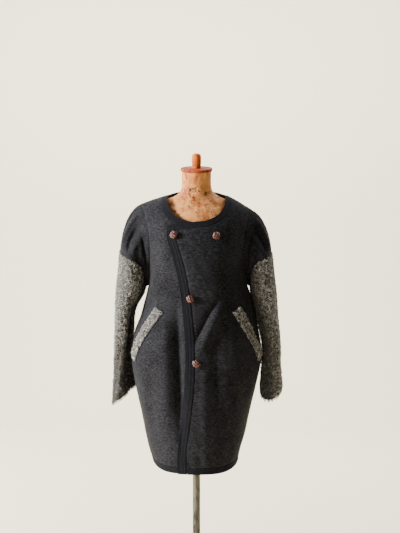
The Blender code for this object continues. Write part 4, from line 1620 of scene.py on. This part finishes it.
@dataclass
class NeckBindings:
    """Bindings round the neck, between the neck seam and the neckline."""

    fronts: Fronts
    back: Back

    def build(self) -> None:
        """Make the bindings of both fronts and of the back."""
        cloths = self.fronts.cloths
        body = cloths.body
        seam_half = body.neck_half + body.binding
        share = np.linspace(0.0, 1.0, 15)
        for side in Side:
            lines = []
            for half, at_seam in ((seam_half, True), (body.neck_half, False)):
                lap = np.linspace(body.lap_corner, 0.0, 34)
                x = side.value * np.concatenate([lap, self.fronts.neck_across(half)])
                rise = body.underarm + body.arch * body.front_stop(x, side, at_seam)
                lines.append((body.front_angle(x, rise), rise))
            self.strip(f"neck_binding_{side.word}", lines, share, side)
        lines = []
        for half, at_seam in ((seam_half, True), (body.neck_half, False)):
            one = self.back.neck_across(half)
            x = np.concatenate([-one[:0:-1], one])
            rise = body.underarm + body.arch * body.back_stop(x, at_seam)
            lines.append((math.pi - body.front_angle(x, rise), rise))
        self.strip("neck_binding_back", lines, share, None)

    def strip(self, node: str, lines: list[tuple[Array, Array]], share: Array, side: Side | None) -> None:
        """Make one binding: a rolled neckline and a stitched groove near the seam.

        Args:
            node: the solid's name.
            lines: angles and rises of the seam and of the neckline.
            share: places from the seam to the neckline.
            side: which front it is on, or none on the back.
        """
        cloths = self.fronts.cloths
        body = cloths.body
        (seam_angle, seam_rise), (neck_angle, neck_rise) = lines
        angles = seam_angle[:, None] + (neck_angle - seam_angle)[:, None] * share
        rises = seam_rise[:, None] + (neck_rise - seam_rise)[:, None] * share
        points = body(angles, rises)
        normals = body.normals(angles, rises)
        roll = 0.0012 * np.exp(-(((share - 1) / 0.16) ** 2)) - 0.0009 * np.exp(-((share / 0.09) ** 2))
        groove = -0.0006 * np.exp(-(((share - 0.30) / 0.07) ** 2))
        outer = body.cloth + body.band_rise + roll + groove + 0.0002 * ripple(points, 0.012, 15)
        offset = body.lap_offset(points, side) if side else 0.0
        outside = cloths.panel(node, points, normals, outer, cloths.binding, Slot.BINDING, offset)
        cloths.stitching.add_row(outside[1:-1, 4], normals[1:-1, 4])


@dataclass
class UpperSleeves:
    """Wool sleeves from the armholes to the joining seams."""

    cloths: Cloths
    round_it: Array = field(default_factory=lambda: np.radians(np.linspace(180.0, 540.0, 133)))
    shares: Array = field(default_factory=lambda: np.linspace(0.0, 1.0, 40))

    def overarm(self, angles: Array) -> Array:
        """Relief of the seam over the arm: a fine ridge with a groove on either side."""
        aside = (np.mod(angles + math.pi, 2 * math.pi) - math.pi - 0.42) * 0.07
        return 0.0011 * np.exp(-((aside / 0.0014) ** 2)) - 0.0007 * np.exp(-((aside / 0.0036) ** 2))

    def build(self) -> None:
        """Make both upper sleeves."""
        cloths = self.cloths
        for side in Side:
            surface = cloths.uppers[side]
            angles, shares = np.meshgrid(self.round_it, self.shares, indexing="ij")
            points = surface(angles, shares)
            normals = surface.normals(angles, np.clip(shares, 0.0, 0.98))
            borders = Borders.of(points)
            weight = np.exp(-((borders.last_row[..., None] / cloths.rim_ease) ** 2))
            normals = normals * (1 - weight) + surface.rim(self.round_it)[:, None] * weight
            normals[-1] = normals[0] = (normals[0] + normals[-1]) / 2
            outer = cloths.body.cloth - borders.groove(0.0010, 0.0026, "first_row", "last_row")
            outer = outer + 0.00025 * ripple(points, 0.016, 21) + self.overarm(angles)
            cloths.panel(f"upper_sleeve_{side.word}", points, normals, outer, cloths.wool, Slot.WOOL)


@dataclass
class LoopedPieces:
    """Looped-yarn sleeves and pocket welts: a bumpy ground under curled loops."""

    cloths: Cloths
    spacing: float = 0.0038
    loop_height: tuple[float, float] = (0.0012, 0.0037)
    loop_reach: tuple[float, float] = (0.0015, 0.0037)
    yarn: float = 0.00074
    sleeve_tone: float = 0.68
    welt_tone: float = 0.74
    stays_pale: float = 0.07
    loop_points: int = 6
    frayed_ends: int = 90
    frayed_length: tuple[float, float] = (0.004, 0.013)
    # at the upper end, and what is added along the welt
    welt_degrees: tuple[float, float] = (40.0, 30.5)
    welt_rise: tuple[float, float] = (0.985, -0.163)
    # turn and rise for each metre across the welt
    welt_lean: tuple[float, float] = (5.17, 0.489)
    welt_width: float = 0.040
    # right and left
    welt_lifts: tuple[float, float] = (0.0013, 0.0006)

    def between_corners(self, grid: Array, column: Array, row: Array, share: Array) -> Array:
        """Values of a grid inside some of its cells.

        Args:
            grid: values, columns by rows.
            column: the cells' columns.
            row: the cells' rows.
            share: places across and along each cell.

        Returns:
            The blend of each cell's four corners.
        """
        a, b = share
        near = grid[column, row] * (1 - a) + grid[column + 1, row] * a
        far = grid[column, row + 1] * (1 - a) + grid[column + 1, row + 1] * a
        return near * (1 - b) + far * b

    def curls(
        self, node: str, outside: Array, normals: Array, shade: Array, seed: int, ragged: Array | None = None
    ) -> None:
        """Cover a face with loops.

        A loop starts and ends on the face: along by a sine of its course, up by a half sine
        to a seeded height, and aside by a second, smaller wave.

        Args:
            node: name of the cloth's solid.
            outside: grid of the outer face.
            normals: its normals.
            shade: share of painted shade on the yarn there; a few loops in a hundred stay pale.
            seed: which scatter.
            ragged: points of the cuff's line, from which frayed ends hang.
        """
        rng = np.random.default_rng(seed)
        cross = np.cross(outside[1:, 1:] - outside[:-1, :-1], outside[:-1, 1:] - outside[1:, :-1])
        area = np.linalg.norm(cross, axis=-1) / 2
        count = int(area.sum() / self.spacing**2)
        cell = rng.choice(area.size, count, p=(area / area.sum()).ravel())
        column, row = np.unravel_index(cell, area.shape)
        share = rng.random((2, count, 1))
        base = self.between_corners(outside, column, row, share)
        normal = unit(self.between_corners(normals, column, row, share))
        along = unit(rng.normal(size=(count, 3)))
        along = unit(along - normal * (along * normal).sum(axis=1, keepdims=True))
        aside = np.cross(normal, along)
        clump = ripple(base, 0.016, seed + 1)
        height = rng.uniform(*self.loop_height, count) * (1 + 0.35 * clump)
        reach = rng.uniform(*self.loop_reach, count)
        sway = rng.uniform(-0.9, 0.9, count) * reach
        course = np.linspace(0.0, 1.0, self.loop_points)
        paths = (
            base[:, None]
            + along[:, None] * (reach[:, None] * np.sin((course - 0.5) * math.pi * 1.5))[..., None]
            + normal[:, None] * (height[:, None] * np.sin(course * math.pi) - 0.0006)[..., None]
            + aside[:, None] * (sway[:, None] * np.sin(course * 2 * math.pi))[..., None]
        )
        pale = self.sleeve_tone if ragged is not None else self.welt_tone
        tone = np.clip(pale + 0.08 * clump + 0.14 * rng.normal(size=count), 0.0, 1.0)
        # painted shade darkens the loops' tone, except on the few that stay pale
        painted_darkening = self.between_corners(shade[..., None], column, row, share)[:, 0]
        tone = tone * (1 - painted_darkening * (rng.random(count) > self.stays_pale))
        if ragged is not None:
            hanging, low_tone = self.hanging(ragged, seed)
            paths = np.concatenate([paths, hanging])
            tone = np.concatenate([tone, low_tone])
        radii = np.full(paths.shape[:2], self.yarn) * rng.uniform(0.7, 1.25, (len(paths), 1))
        points, faces = tubes(paths, radii, 3)
        piece = add_piece(f"{node}_loops", points, faces, self.cloths.yarn, 180.0)
        add_tone(piece, np.repeat(tone, len(points) // len(paths)))
        log.info("%s: %d loops, %d faces", piece.name, len(paths), len(piece.data.polygons))

    def hanging(self, edge: Array, seed: int) -> tuple[Array, Array]:
        """Frayed ends along a cuff.

        Args:
            edge: points of the cuff's line.
            seed: which scatter.

        Returns:
            Paths of short curled strands that fall by seeded lengths, and their tones.
        """
        rng = np.random.default_rng(seed + 5)
        count = self.frayed_ends
        place = rng.uniform(0, len(edge) - 1.001, count)
        k = place.astype(int)
        start = edge[k] + (edge[k + 1] - edge[k]) * (place - k)[:, None]
        length = rng.uniform(*self.frayed_length, count)
        course = np.linspace(0.0, 1.0, self.loop_points)
        drift = rng.normal(0.0, 0.0022, (count, 1, 3)) * np.sin(course * math.pi * 1.3)[None, :, None]
        fall = np.zeros((count, self.loop_points, 3))
        fall[..., 2] = 0.002 - length[:, None] * course
        return start[:, None] + drift + fall, np.clip(rng.normal(0.55, 0.22, count), 0, 1)

    def build_sleeves(self) -> None:
        """Make the front and back half of both sleeves."""
        cloths = self.cloths
        for number, side in enumerate(Side):
            surface = cloths.sleeves[side]
            for half, first in (("front", 0.0), ("back", math.pi)):
                node = f"sleeve_{side.word}_{half}"
                round_it = np.linspace(first, first + math.pi, 49)
                angles, shares = np.meshgrid(round_it, np.linspace(0.0, 1.0, 96), indexing="ij")
                bottom = surface.cuff_height(angles)
                top = surface.seam_height(np.minimum(angles, 2 * math.pi - SMALL))
                heights = bottom + (top - bottom) * shares
                points = surface(angles, heights)
                normals = surface.normals(angles, heights)
                seed = 40 + 10 * number + (half == "back")
                bumps = 0.0007 * ripple(points, 0.009, seed) + 0.0006 * ripple(points, 0.030, seed + 3)
                outer = surface.cloth + bumps
                outside = cloths.panel(node, points, normals, outer, cloths.looped, Slot.LOOPED)
                # the loops carry the sleeve's painted shade
                self.curls(node, outside, normals, surface.darker(angles, heights), seed, outside[:, 0])

    def build_welts(self) -> None:
        """Make the slanted pocket welts, laid on the fronts over the hips."""
        cloths, body = self.cloths, self.cloths.body
        for number, (side, lift) in enumerate(zip(Side, self.welt_lifts)):
            along, aside = np.meshgrid(np.linspace(0, 1, 76), np.linspace(-0.5, 0.5, 19), indexing="ij")
            start, run = self.welt_degrees
            angles = np.radians(start + run * along) + self.welt_lean[0] * self.welt_width * aside
            start, run = self.welt_rise
            rises = start + run * along + self.welt_lean[1] * self.welt_width * aside
            points = body(side.value * angles, rises)
            normals = body.normals(side.value * angles, rises)
            grooves = Borders.of(points).groove(0.0013, 0.0030, *EVERY_BORDER)
            bumps = 0.0005 * ripple(points, 0.008, 70 + number)
            outer = 0.0030 - grooves + bumps
            node = f"welt_{side.word}"
            base = body.cloth + lift
            outside = cloths.panel(node, points, normals, outer, cloths.looped, Slot.LOOPED, base)
            self.curls(node, outside, normals, np.zeros_like(rises), 80 + number)


@dataclass
class Buttons:
    """Knotted buttons of plaited leather on short shanks."""

    cloths: Cloths
    material: bpy.types.Material
    radius: float = 0.0130
    height: float = 0.0095
    shank: float = 0.0030
    # place across, height, lift off the cloth
    places: tuple[tuple[float, float, float], ...] = (
        (-0.072, 1.226, 0.00085), (0.064, 1.223, 0.00020), (-0.019, 1.020, 0.00100),
        (0.000, 0.814, 0.00055),
    )

    def dome(self, x: Array, y: Array) -> Array:
        """Height of the knot: the root of one less the squared share of the radius."""
        share = np.clip((x**2 + y**2) / self.radius**2, 0.0, 1.0)
        return self.shank + self.height * (0.12 + 0.74 * np.sqrt(1 - 0.97 * share))

    def strands(self) -> tuple[Array, Array, Array]:
        """Strands of the plait, three each way, over and under by turns.

        Returns:
            Their paths, widths and up directions; a strand lifts by a cosine of its course.
        """
        course = np.linspace(-1.0, 1.0, 25)
        step = self.radius * 0.58
        paths, radii, ups = [], [], []
        for way in (0, 1):
            for k in (-1, 0, 1):
                aside = np.full_like(course, k * step)
                reach = math.sqrt(self.radius**2 - (k * step) ** 2) * 0.96
                forth = reach * np.sin(course * math.pi / 2)
                x, y = (forth, aside) if way == 0 else (aside, forth)
                weave = math.pi * (forth / step + k + way)
                lift = 0.00105 * np.cos(weave) * smooth_step(1 - np.abs(course), 0.0, 0.25)
                paths.append(np.stack([x, y, self.dome(x, y) + lift], axis=-1))
                radii.append(0.0032 * (0.40 + 0.60 * smooth_step(1 - np.abs(course), 0.0, 0.30)))
                up = np.stack([x, y, np.full_like(x, self.radius * 0.9)], axis=-1)
                ups.append(unit(up))
        return np.array(paths), np.array(radii), np.array(ups)

    def core(self) -> tuple[Array, list]:
        """Dome and shank under the strands, all in the leather's painted gap shade.

        Returns:
            The vertices and faces of a turned skin.
        """
        r, low, high = self.radius * 0.96, self.shank, self.shank + self.height
        profile = np.array(
            [(0.30 * r, high - 0.0022), (0.70 * r, high - 0.0035), (r, low + 0.35 * self.height),
             (0.85 * r, low + 0.06 * self.height), (0.30 * r, low), (0.0028, low - 0.0003), (0.0028, 0.0)]
        )
        steps = 28
        angle = np.linspace(0, 2 * math.pi, steps, endpoint=False)
        radius, level = profile[:, :1], np.repeat(profile[:, 1:], steps, axis=1)
        rings = np.stack([radius * np.cos(angle), radius * np.sin(angle), level], axis=-1)
        return skin(rings, high - 0.0016, 0.0)

    def build(self) -> None:
        """Make the four buttons where their shanks stand on the left front."""
        body = self.cloths.body
        paths, radii, ups = self.strands()
        plait, faces = tubes(paths, radii, 10, ups, 0.42)
        core, core_faces = self.core()
        local = np.concatenate([plait, core])
        faces = faces + [[v + len(plait) for v in face] for face in core_faces]
        top = self.dome(local[:, 0], local[:, 1])
        # painted shade: a strand's tone falls as it dips toward the dome, and the core is all painted gap
        # shade
        tone = smooth_step(local[:, 2] - top, -0.0004, 0.0024)
        tone[len(plait):] = 0.0
        for number, (x, height, lift) in enumerate(self.places, 1):
            turn = math.asin(max(height - body.underarm, 0.0) / (body.shoulder_top - body.underarm))
            rise = np.array(min(height, body.underarm) + body.arch * turn)
            angle = body.front_angle(np.array(x), rise)
            point, normal = body(angle, rise), body.normals(angle, rise)
            place = point + normal * (body.lap_offset(point, Side.LEFT) + body.cloth + lift)
            lean = np.array(Vector(normal).to_track_quat("Z", "Y").to_matrix())
            spin = 0.5 + 0.45 * number
            c, s = math.cos(spin), math.sin(spin)
            spun = np.array([[c, -s, 0], [s, c, 0], [0, 0, 1]])
            points = local @ spun.T @ lean.T + place
            piece = add_piece(f"knot_button_{number}", points, faces, self.material, 60.0)
            add_tone(piece, tone)
            stand_in(piece, f"button_{number}")


# What the jacket is worn on


@dataclass
class DressForm:
    """Torso and neck of layered paper, with the wooden neck cap and its knob."""

    paper: bpy.types.Material
    cap_wood: bpy.types.Material
    knob_wood: bpy.types.Material
    tilt: float = math.radians(15.0)
    cap_centre: tuple[float, float, float] = (0.0, -0.0196, 1.4521)
    cap_radius: float = 0.054
    cap_thickness: float = 0.010
    # height, half width, front, back, centre forward, squareness, lean of the cut
    cuts: Array = table([
        (0.740, 0.150, 0.096, 0.100, 0.000, 0.00, 0.00), (0.750, 0.158, 0.104, 0.108, 0.000, 0.00, 0.00),
        (0.790, 0.158, 0.106, 0.112, 0.000, 0.00, 0.00), (0.850, 0.140, 0.098, 0.098, 0.000, 0.00, 0.00),
        (0.950, 0.113, 0.086, 0.076, 0.000, 0.00, 0.00), (1.000, 0.114, 0.092, 0.076, 0.000, 0.00, 0.00),
        (1.060, 0.128, 0.108, 0.082, 0.000, 0.00, 0.00), (1.130, 0.140, 0.115, 0.090, 0.000, 0.00, 0.00),
        (1.200, 0.149, 0.106, 0.092, 0.000, 0.00, 0.00), (1.250, 0.158, 0.097, 0.088, 0.000, 0.00, 0.00),
        (1.290, 0.166, 0.085, 0.080, 0.000, -0.02, 0.00),
        (1.314, 0.168, 0.0735, 0.072, 0.000, -0.04, 0.00),
        (1.327, 0.161, 0.064, 0.067, 0.000, -0.06, 0.00),
        (1.339, 0.1430, 0.059, 0.063, 0.000, -0.06, 0.00),
        (1.352, 0.1120, 0.054, 0.058, 0.000, -0.06, 0.00),
        (1.3585, 0.0880, 0.0515, 0.0555, 0.000, -0.05, 0.00),
        (1.365, 0.0740, 0.0500, 0.0525, 0.000, -0.03, 0.00),
        (1.375, 0.0600, 0.0490, 0.0500, -0.001, 0.00, 0.00),
        (1.386, 0.0525, 0.0480, 0.0480, -0.003, 0.00, 0.03),
        (1.405, 0.0497, 0.0470, 0.0470, -0.007, 0.00, 0.09),
        (1.428, 0.0497, 0.0470, 0.0470, -0.013, 0.00, 0.18),
        (1.447, 0.0497, 0.0470, 0.0470, -0.018, 0.00, 0.268),
    ])

    def torso(self) -> bpy.types.Object:
        """Make the torso.

        Returns:
            Skin over ovals whose sizes are cubics through the cuts, with the paper's shallow
            dents.
        """
        steps = np.arange(len(self.cuts), dtype=float)
        fine = np.linspace(steps[-1], 0.0, 150)
        height, half, front, back, forward, square, lean = (
            curve_through(fine, steps, self.cuts[:, k])[:, None] for k in range(7)
        )
        angle = np.linspace(0.0, 2 * math.pi, TURN_STEPS, endpoint=False)[None]
        across = (np.sin(angle) + square * np.sin(3 * angle)) / (1 - square)
        backward = -(np.cos(angle) - square * np.cos(3 * angle)) / (1 - square)
        y = np.where(backward > 0, back, front) * backward
        z = np.broadcast_to(height + lean * y, y.shape)
        rings = np.stack([half * across, y + forward, z], axis=-1)
        inward = unit(rings * np.array([1.0, 1.0, 0.0]))
        dents = 0.0004 * ripple(rings, 0.030, 31) + 0.0002 * ripple(rings, 0.009, 32) - 0.0003
        rings = rings + inward * dents[..., None]
        middle = rings[[0, -1]].mean(axis=1)
        return loft("form_torso_skin", rings, float(middle[0, 2]), float(middle[1, 2]), self.paper)

    def tilted(self, name: str, profile: Profile, material: bpy.types.Material) -> bpy.types.Object:
        """Piece turned, leaned forward with the neck and put at the cap's centre.

        Args:
            name: the piece's name.
            profile: radius and height pairs from top to bottom.
            material: its finish.

        Returns:
            The object.
        """
        piece = turned(name, profile, material)
        mesh = piece.data
        points = np.empty(len(mesh.vertices) * 3)
        mesh.vertices.foreach_get("co", points)
        c, s = math.cos(self.tilt), math.sin(self.tilt)
        lean = np.array([[1, 0, 0], [0, c, -s], [0, s, c]])
        leaned = points.reshape(-1, 3) @ lean.T + np.array(self.cap_centre)
        mesh.vertices.foreach_set("co", leaned.ravel())
        mesh.update()
        return piece

    def build(self) -> None:
        """Make the torso, the neck cap and the knob."""
        stand_in(self.torso(), "form_torso")
        r, half = self.cap_radius, self.cap_thickness / 2
        bend = np.linspace(0.0, math.pi / 2, 7)
        upper = [(r - 0.003 + 0.003 * math.sin(a), half - 0.003 + 0.003 * math.cos(a)) for a in bend]
        lower = [(radius, -height) for radius, height in upper[::-1]]
        groove = [(r - 0.016, half), (r - 0.015, half - 0.0006), (r - 0.014, half)]
        disc = [(0.0, half), (0.020, half), *groove, *upper, *lower, (0.0, -half)]
        stand_in(self.tilted("neck_cap_disc", disc, self.cap_wood), "neck_cap")
        knots = np.array(
            [(0.0030, 0.0544), (0.0068, 0.0540), (0.0124, 0.0512), (0.0154, 0.0455), (0.0160, 0.0360),
             (0.0156, 0.0240), (0.0148, 0.0120), (0.0144, half + 0.0003)]
        )
        fine = np.linspace(0, len(knots) - 1, 40)
        index = np.arange(len(knots), dtype=float)
        radius, height = (curve_through(fine, index, knots[:, k]) for k in (0, 1))
        profile = [(0.0, 0.0545), *zip(radius, height), (0.0, half + 0.0003)]
        stand_in(self.tilted("cap_knob_turned", profile, self.knob_wood), "cap_knob")


@dataclass
class Stand:
    """Socket, pole, hub and base plate."""

    steel: bpy.types.Material
    iron: bpy.types.Material
    pole_radius: float = 0.0125
    plate_radius: float = 0.170
    plate_height: float = 0.012
    hub_height: float = 0.050
    socket_top: float = 0.7397
    socket_height: float = 0.070
    gap: float = 0.0003

    def build(self) -> None:
        """Make the four turned pieces in the places of their solids."""
        high, low = self.socket_top, self.socket_top - self.socket_height
        foot = self.plate_height + self.gap
        top, r = foot + self.hub_height, self.pole_radius
        socket = [
            (0.0, high), (0.050, high), (0.050, high - 0.006), (0.026, high - 0.013), (0.023, high - 0.020),
            (0.020, low + 0.004), (0.0185, low + 0.001), (0.017, low), (0.0, low),
        ]
        pole_top, pole_foot = low - self.gap, top + self.gap
        pole = [(0.0, pole_top), (r, pole_top), (r, pole_foot), (0.0, pole_foot)]
        hub = [(0.0, top), (0.018, top), (0.0202, top - 0.0012), (0.021, top - 0.004),
               (0.024, foot + 0.012), (0.028, foot + 0.005), (0.034, foot), (0.0, foot)]
        edge, plate = self.plate_radius, self.plate_height
        base = [
            (0.0, plate), (edge - 0.012, plate), (edge - 0.006, plate - 0.0010),
            (edge - 0.003, plate - 0.003), (edge - 0.0008, plate - 0.005), (edge, plate - 0.007),
            (edge, 0.0), (0.0, 0.0),
        ]
        pieces = (
            ("form_socket", socket, self.steel, Slot.STEEL), ("pole", pole, self.steel, Slot.STEEL),
            ("base_hub", hub, self.iron, Slot.IRON), ("base_plate", base, self.iron, Slot.IRON),
        )
        for node, profile, material, slot in pieces:
            stand_in(turned(f"{node}_turned", profile, material), node)


@dataclass
class Studio:
    """Pale floor that sweeps up behind, soft light from the upper left, and the camera."""

    floor_colour: Colour = (231, 222, 198)
    backdrop_distance: float = 4.6
    bend: float = 1.6
    camera_place: tuple[float, float, float] = (0.0119, -2.72, 1.125)
    lens: float = 54.1
    world_colour: Colour = (0.93, 0.92, 0.89)
    world_strength: float = 0.11
    # name, place, aim, size, power, tint
    lights: tuple[tuple[Any, ...], ...] = (
        ("key", (-3.65, -1.25, 2.0), (0.0, 0.0, 0.95), 1.2, 620.0, (1.0, 0.99, 0.98)),
        ("backdrop left", (-1.8, 1.4, 4.0), (-1.4, 4.0, 0.7), 2.4, 360.0, (1.0, 0.985, 0.95)),
        ("backdrop right", (1.8, 1.4, 4.0), (1.4, 4.0, 0.7), 2.4, 345.0, (1.0, 0.985, 0.95)),
    )

    def sweep(self) -> None:
        """Floor and backdrop as one strip: flat, then a quarter circle, then upright."""
        curve = np.linspace(0, math.pi / 2, 24)
        flat_end = self.backdrop_distance - self.bend
        y = np.concatenate([[-7.0], flat_end + self.bend * np.sin(curve), [self.backdrop_distance]])
        z = np.concatenate([[0.0], self.bend * (1 - np.cos(curve)), [7.0]])
        x = np.array([-9.0, 9.0])
        grid = np.stack(np.broadcast_arrays(x[:, None], y, z), axis=-1)
        count = len(y)
        index = np.arange(count - 1)
        faces = np.stack([index, index + count, index + count + 1, index + 1], axis=-1).tolist()
        mesh = bpy.data.meshes.new("sweep")
        mesh.from_pydata(grid.reshape(-1, 3).tolist(), [], faces)
        mesh.shade_smooth()
        paint = Graph("pale floor", screen(*self.floor_colour), {"Roughness": 0.9}).material
        mesh.materials.append(paint)
        piece = bpy.data.objects.new("sweep", mesh)
        bpy.context.scene.collection.objects.link(piece)

    def light(
        self, name: str, place: Sequence[float], aim: Sequence[float], size: float, power: float,
        tint: Colour,
    ) -> None:
        """Add a soft square light, unseen by the camera.

        Args:
            name: its name.
            place: where it is.
            aim: the point that it faces.
            size: its side.
            power: its power in watts.
            tint: its colour.
        """
        data = bpy.data.lights.new(name, "AREA")
        data.energy = power
        data.size = size
        data.color = tint
        lamp = bpy.data.objects.new(name, data)
        lamp.location = place
        lamp.rotation_euler = (Vector(aim) - Vector(place)).to_track_quat("-Z", "Y").to_euler()
        lamp.visible_camera = False
        bpy.context.scene.collection.objects.link(lamp)

    def build(self) -> None:
        """Make the floor, the lights, the world and the camera."""
        self.sweep()
        for settings in self.lights:
            self.light(*settings)
        world = bpy.data.worlds.new("soft surroundings")
        world.use_nodes = True
        background = world.node_tree.nodes["Background"]
        background.inputs["Color"].default_value = (*self.world_colour, 1.0)
        background.inputs["Strength"].default_value = self.world_strength
        bpy.context.scene.world = world
        data = bpy.data.cameras.new("camera")
        data.lens = self.lens
        data.sensor_width = 36.0
        camera = bpy.data.objects.new("camera", data)
        camera.location = self.camera_place
        camera.rotation_euler = (math.pi / 2, 0.0, 0.0)
        bpy.context.scene.collection.objects.link(camera)
        bpy.context.scene.camera = camera


def right_sleeve() -> SleeveSurface:
    """Describe the wearer's right sleeve.

    Returns:
        A sleeve that swings back, with its front ridge turned outward.
    """
    cuts = np.array([
        (0.640, 0.2895, 0.2020, 0.052, 0.050), (0.700, 0.2860, 0.2070, 0.049, 0.051),
        (0.754, 0.2820, 0.2150, 0.045, 0.055), (0.830, 0.2790, 0.2215, 0.034, 0.060),
        (0.920, 0.2760, 0.2150, 0.018, 0.065), (0.980, 0.2745, 0.2085, 0.012, 0.068),
        (1.048, 0.2720, 0.1760, 0.007, 0.070), (1.100, 0.2665, 0.1720, 0.005, 0.070),
        (1.190, 0.2590, 0.1780, 0.004, 0.070),
    ])
    seam = (1.183, 1.162, 1.146, 1.124, 1.092, 1.050, 1.088, 1.116, 1.140, 1.160, 1.183)
    folds = (
        Fold((0.096, 0.990), (0.036, 0.630), 0.008, -0.0050),
        Fold((0.120, 0.990), (0.080, 0.590), 0.021, 0.0170),
        Fold((0.066, 0.960), (0.020, 0.640), 0.014, 0.0040),
        Fold((0.060, 1.060), (0.110, 0.985), 0.010, 0.0030, 0.003),
        Fold((0.200, 0.940), (0.215, 0.760), 0.014, 0.0035),
        Fold((0.245, 0.980), (0.235, 0.820), 0.012, -0.0030),
        Fold((0.170, 0.860), (0.150, 0.740), 0.010, 0.0030),
    )
    cuff = (0.686, -0.028, 0.000)
    # painted shade: dark on the face turned to the body and toward the cuff
    return SleeveSurface(
        Side.RIGHT, cuts, seam, cuff, folds, turned_out=30.0, inner_shade=0.92, low_shade=0.52
    )


def left_sleeve() -> SleeveSurface:
    """Describe the wearer's left sleeve.

    Returns:
        A sleeve that hangs straight, with one light crease down its front.
    """
    cuts = np.array([
        (0.640, 0.2895, 0.2170, 0.006, 0.050), (0.733, 0.2890, 0.2190, 0.006, 0.055),
        (0.785, 0.2835, 0.2230, 0.005, 0.058), (0.863, 0.2830, 0.2235, 0.004, 0.062),
        (0.947, 0.2755, 0.2065, 0.001, 0.066), (1.000, 0.2720, 0.1945, 0.000, 0.068),
        (1.045, 0.2690, 0.1840, 0.000, 0.070), (1.100, 0.2625, 0.1820, 0.000, 0.070),
        (1.190, 0.2540, 0.1800, 0.000, 0.070),
    ])
    seam = (1.174, 1.158, 1.146, 1.128, 1.098, 1.052, 1.092, 1.118, 1.140, 1.158, 1.174)
    folds = (
        Fold((0.050, 1.060), (0.046, 0.740), 0.010, -0.0035, 0.003),
        Fold((0.072, 1.030), (0.068, 0.780), 0.009, 0.0030),
        Fold((0.110, 1.000), (0.098, 0.930), 0.009, 0.0026, 0.003),
        Fold((0.205, 0.960), (0.215, 0.760), 0.014, 0.0035),
        Fold((0.240, 1.000), (0.250, 0.800), 0.012, -0.0030),
        Fold((0.180, 0.900), (0.160, 0.780), 0.010, 0.0026),
    )
    cuff = (0.7115, 0.0145, -0.030)
    # painted shade: lighter on the face turned to the body, none toward the cuff
    return SleeveSurface(
        Side.LEFT, cuts, seam, cuff, folds, turned_out=12.0, inner_shade=0.50, low_shade=0.0
    )


def make_cloths() -> Cloths:
    """Gather what the cloth pieces share.

    Returns:
        The surfaces, the finishes and the sewing.
    """
    body = BodySurface()
    sleeves = {Side.RIGHT: right_sleeve(), Side.LEFT: left_sleeve()}
    right_folds = (
        Fold((0.044, 0.020), (0.062, 0.118), 0.009, -0.0055, 0.003),
        Fold((0.080, 0.010), (0.112, 0.112), 0.016, 0.0115),
        Fold((0.030, 0.015), (0.040, 0.110), 0.010, 0.0040, -0.004),
        Fold((0.118, 0.020), (0.126, 0.110), 0.009, -0.0030),
        Fold((0.120, 0.104), (0.200, 0.096), 0.014, 0.0090),
        Fold((0.140, 0.060), (0.190, 0.062), 0.012, -0.0030),
        Fold((0.300, 0.015), (0.318, 0.110), 0.014, 0.0050),
        Fold((0.345, 0.015), (0.360, 0.110), 0.012, -0.0040),
        Fold((0.395, 0.015), (0.388, 0.110), 0.012, 0.0035),
    )
    left_folds = (
        Fold((0.078, 0.010), (0.106, 0.115), 0.015, 0.0105),
        Fold((0.044, 0.015), (0.056, 0.112), 0.009, -0.0045, 0.003),
        Fold((0.112, 0.015), (0.120, 0.110), 0.009, -0.0028),
        Fold((0.115, 0.104), (0.200, 0.096), 0.014, 0.0090),
        Fold((0.140, 0.058), (0.190, 0.060), 0.012, -0.0026),
        Fold((0.305, 0.015), (0.322, 0.110), 0.014, 0.0050),
        Fold((0.350, 0.015), (0.362, 0.110), 0.012, -0.0040),
        Fold((0.400, 0.015), (0.392, 0.110), 0.012, 0.0035),
    )
    uppers = {
        Side.RIGHT: UpperSleeveSurface(body, sleeves[Side.RIGHT], right_folds),
        Side.LEFT: UpperSleeveSurface(body, sleeves[Side.LEFT], left_folds),
    }
    return Cloths(
        body=body, sleeves=sleeves, uppers=uppers, wool=FELT.material("felted wool"),
        binding=BINDING.material("wool binding"), looped=LoopedGround().material("looped ground"),
        yarn=LoopedYarn().material("looped yarn"), stitching=Stitching(),
    )


def main() -> None:
    """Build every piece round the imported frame."""
    logging.basicConfig(level=logging.INFO, format="%(message)s")
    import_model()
    cloths = make_cloths()
    fronts = Fronts(cloths)
    fronts.build()
    back = Back(fronts)
    back.build()
    NeckBindings(fronts, back).build()
    UpperSleeves(cloths).build()
    looped = LoopedPieces(cloths)
    looped.build_sleeves()
    looped.build_welts()
    Buttons(cloths, Leather().material("plaited leather")).build()
    cloths.stitching.build(THREAD.material("sewing thread"))
    DressForm(
        PaperMache().material("paper mache"), RED_WOOD.material("red stained wood"),
        ORANGE_WOOD.material("orange wood"),
    ).build()
    Stand(WORN_STEEL.material("worn steel"), BLACK_IRON.material("black iron")).build()
    Studio().build()


if __name__ == "__main__":
    main()
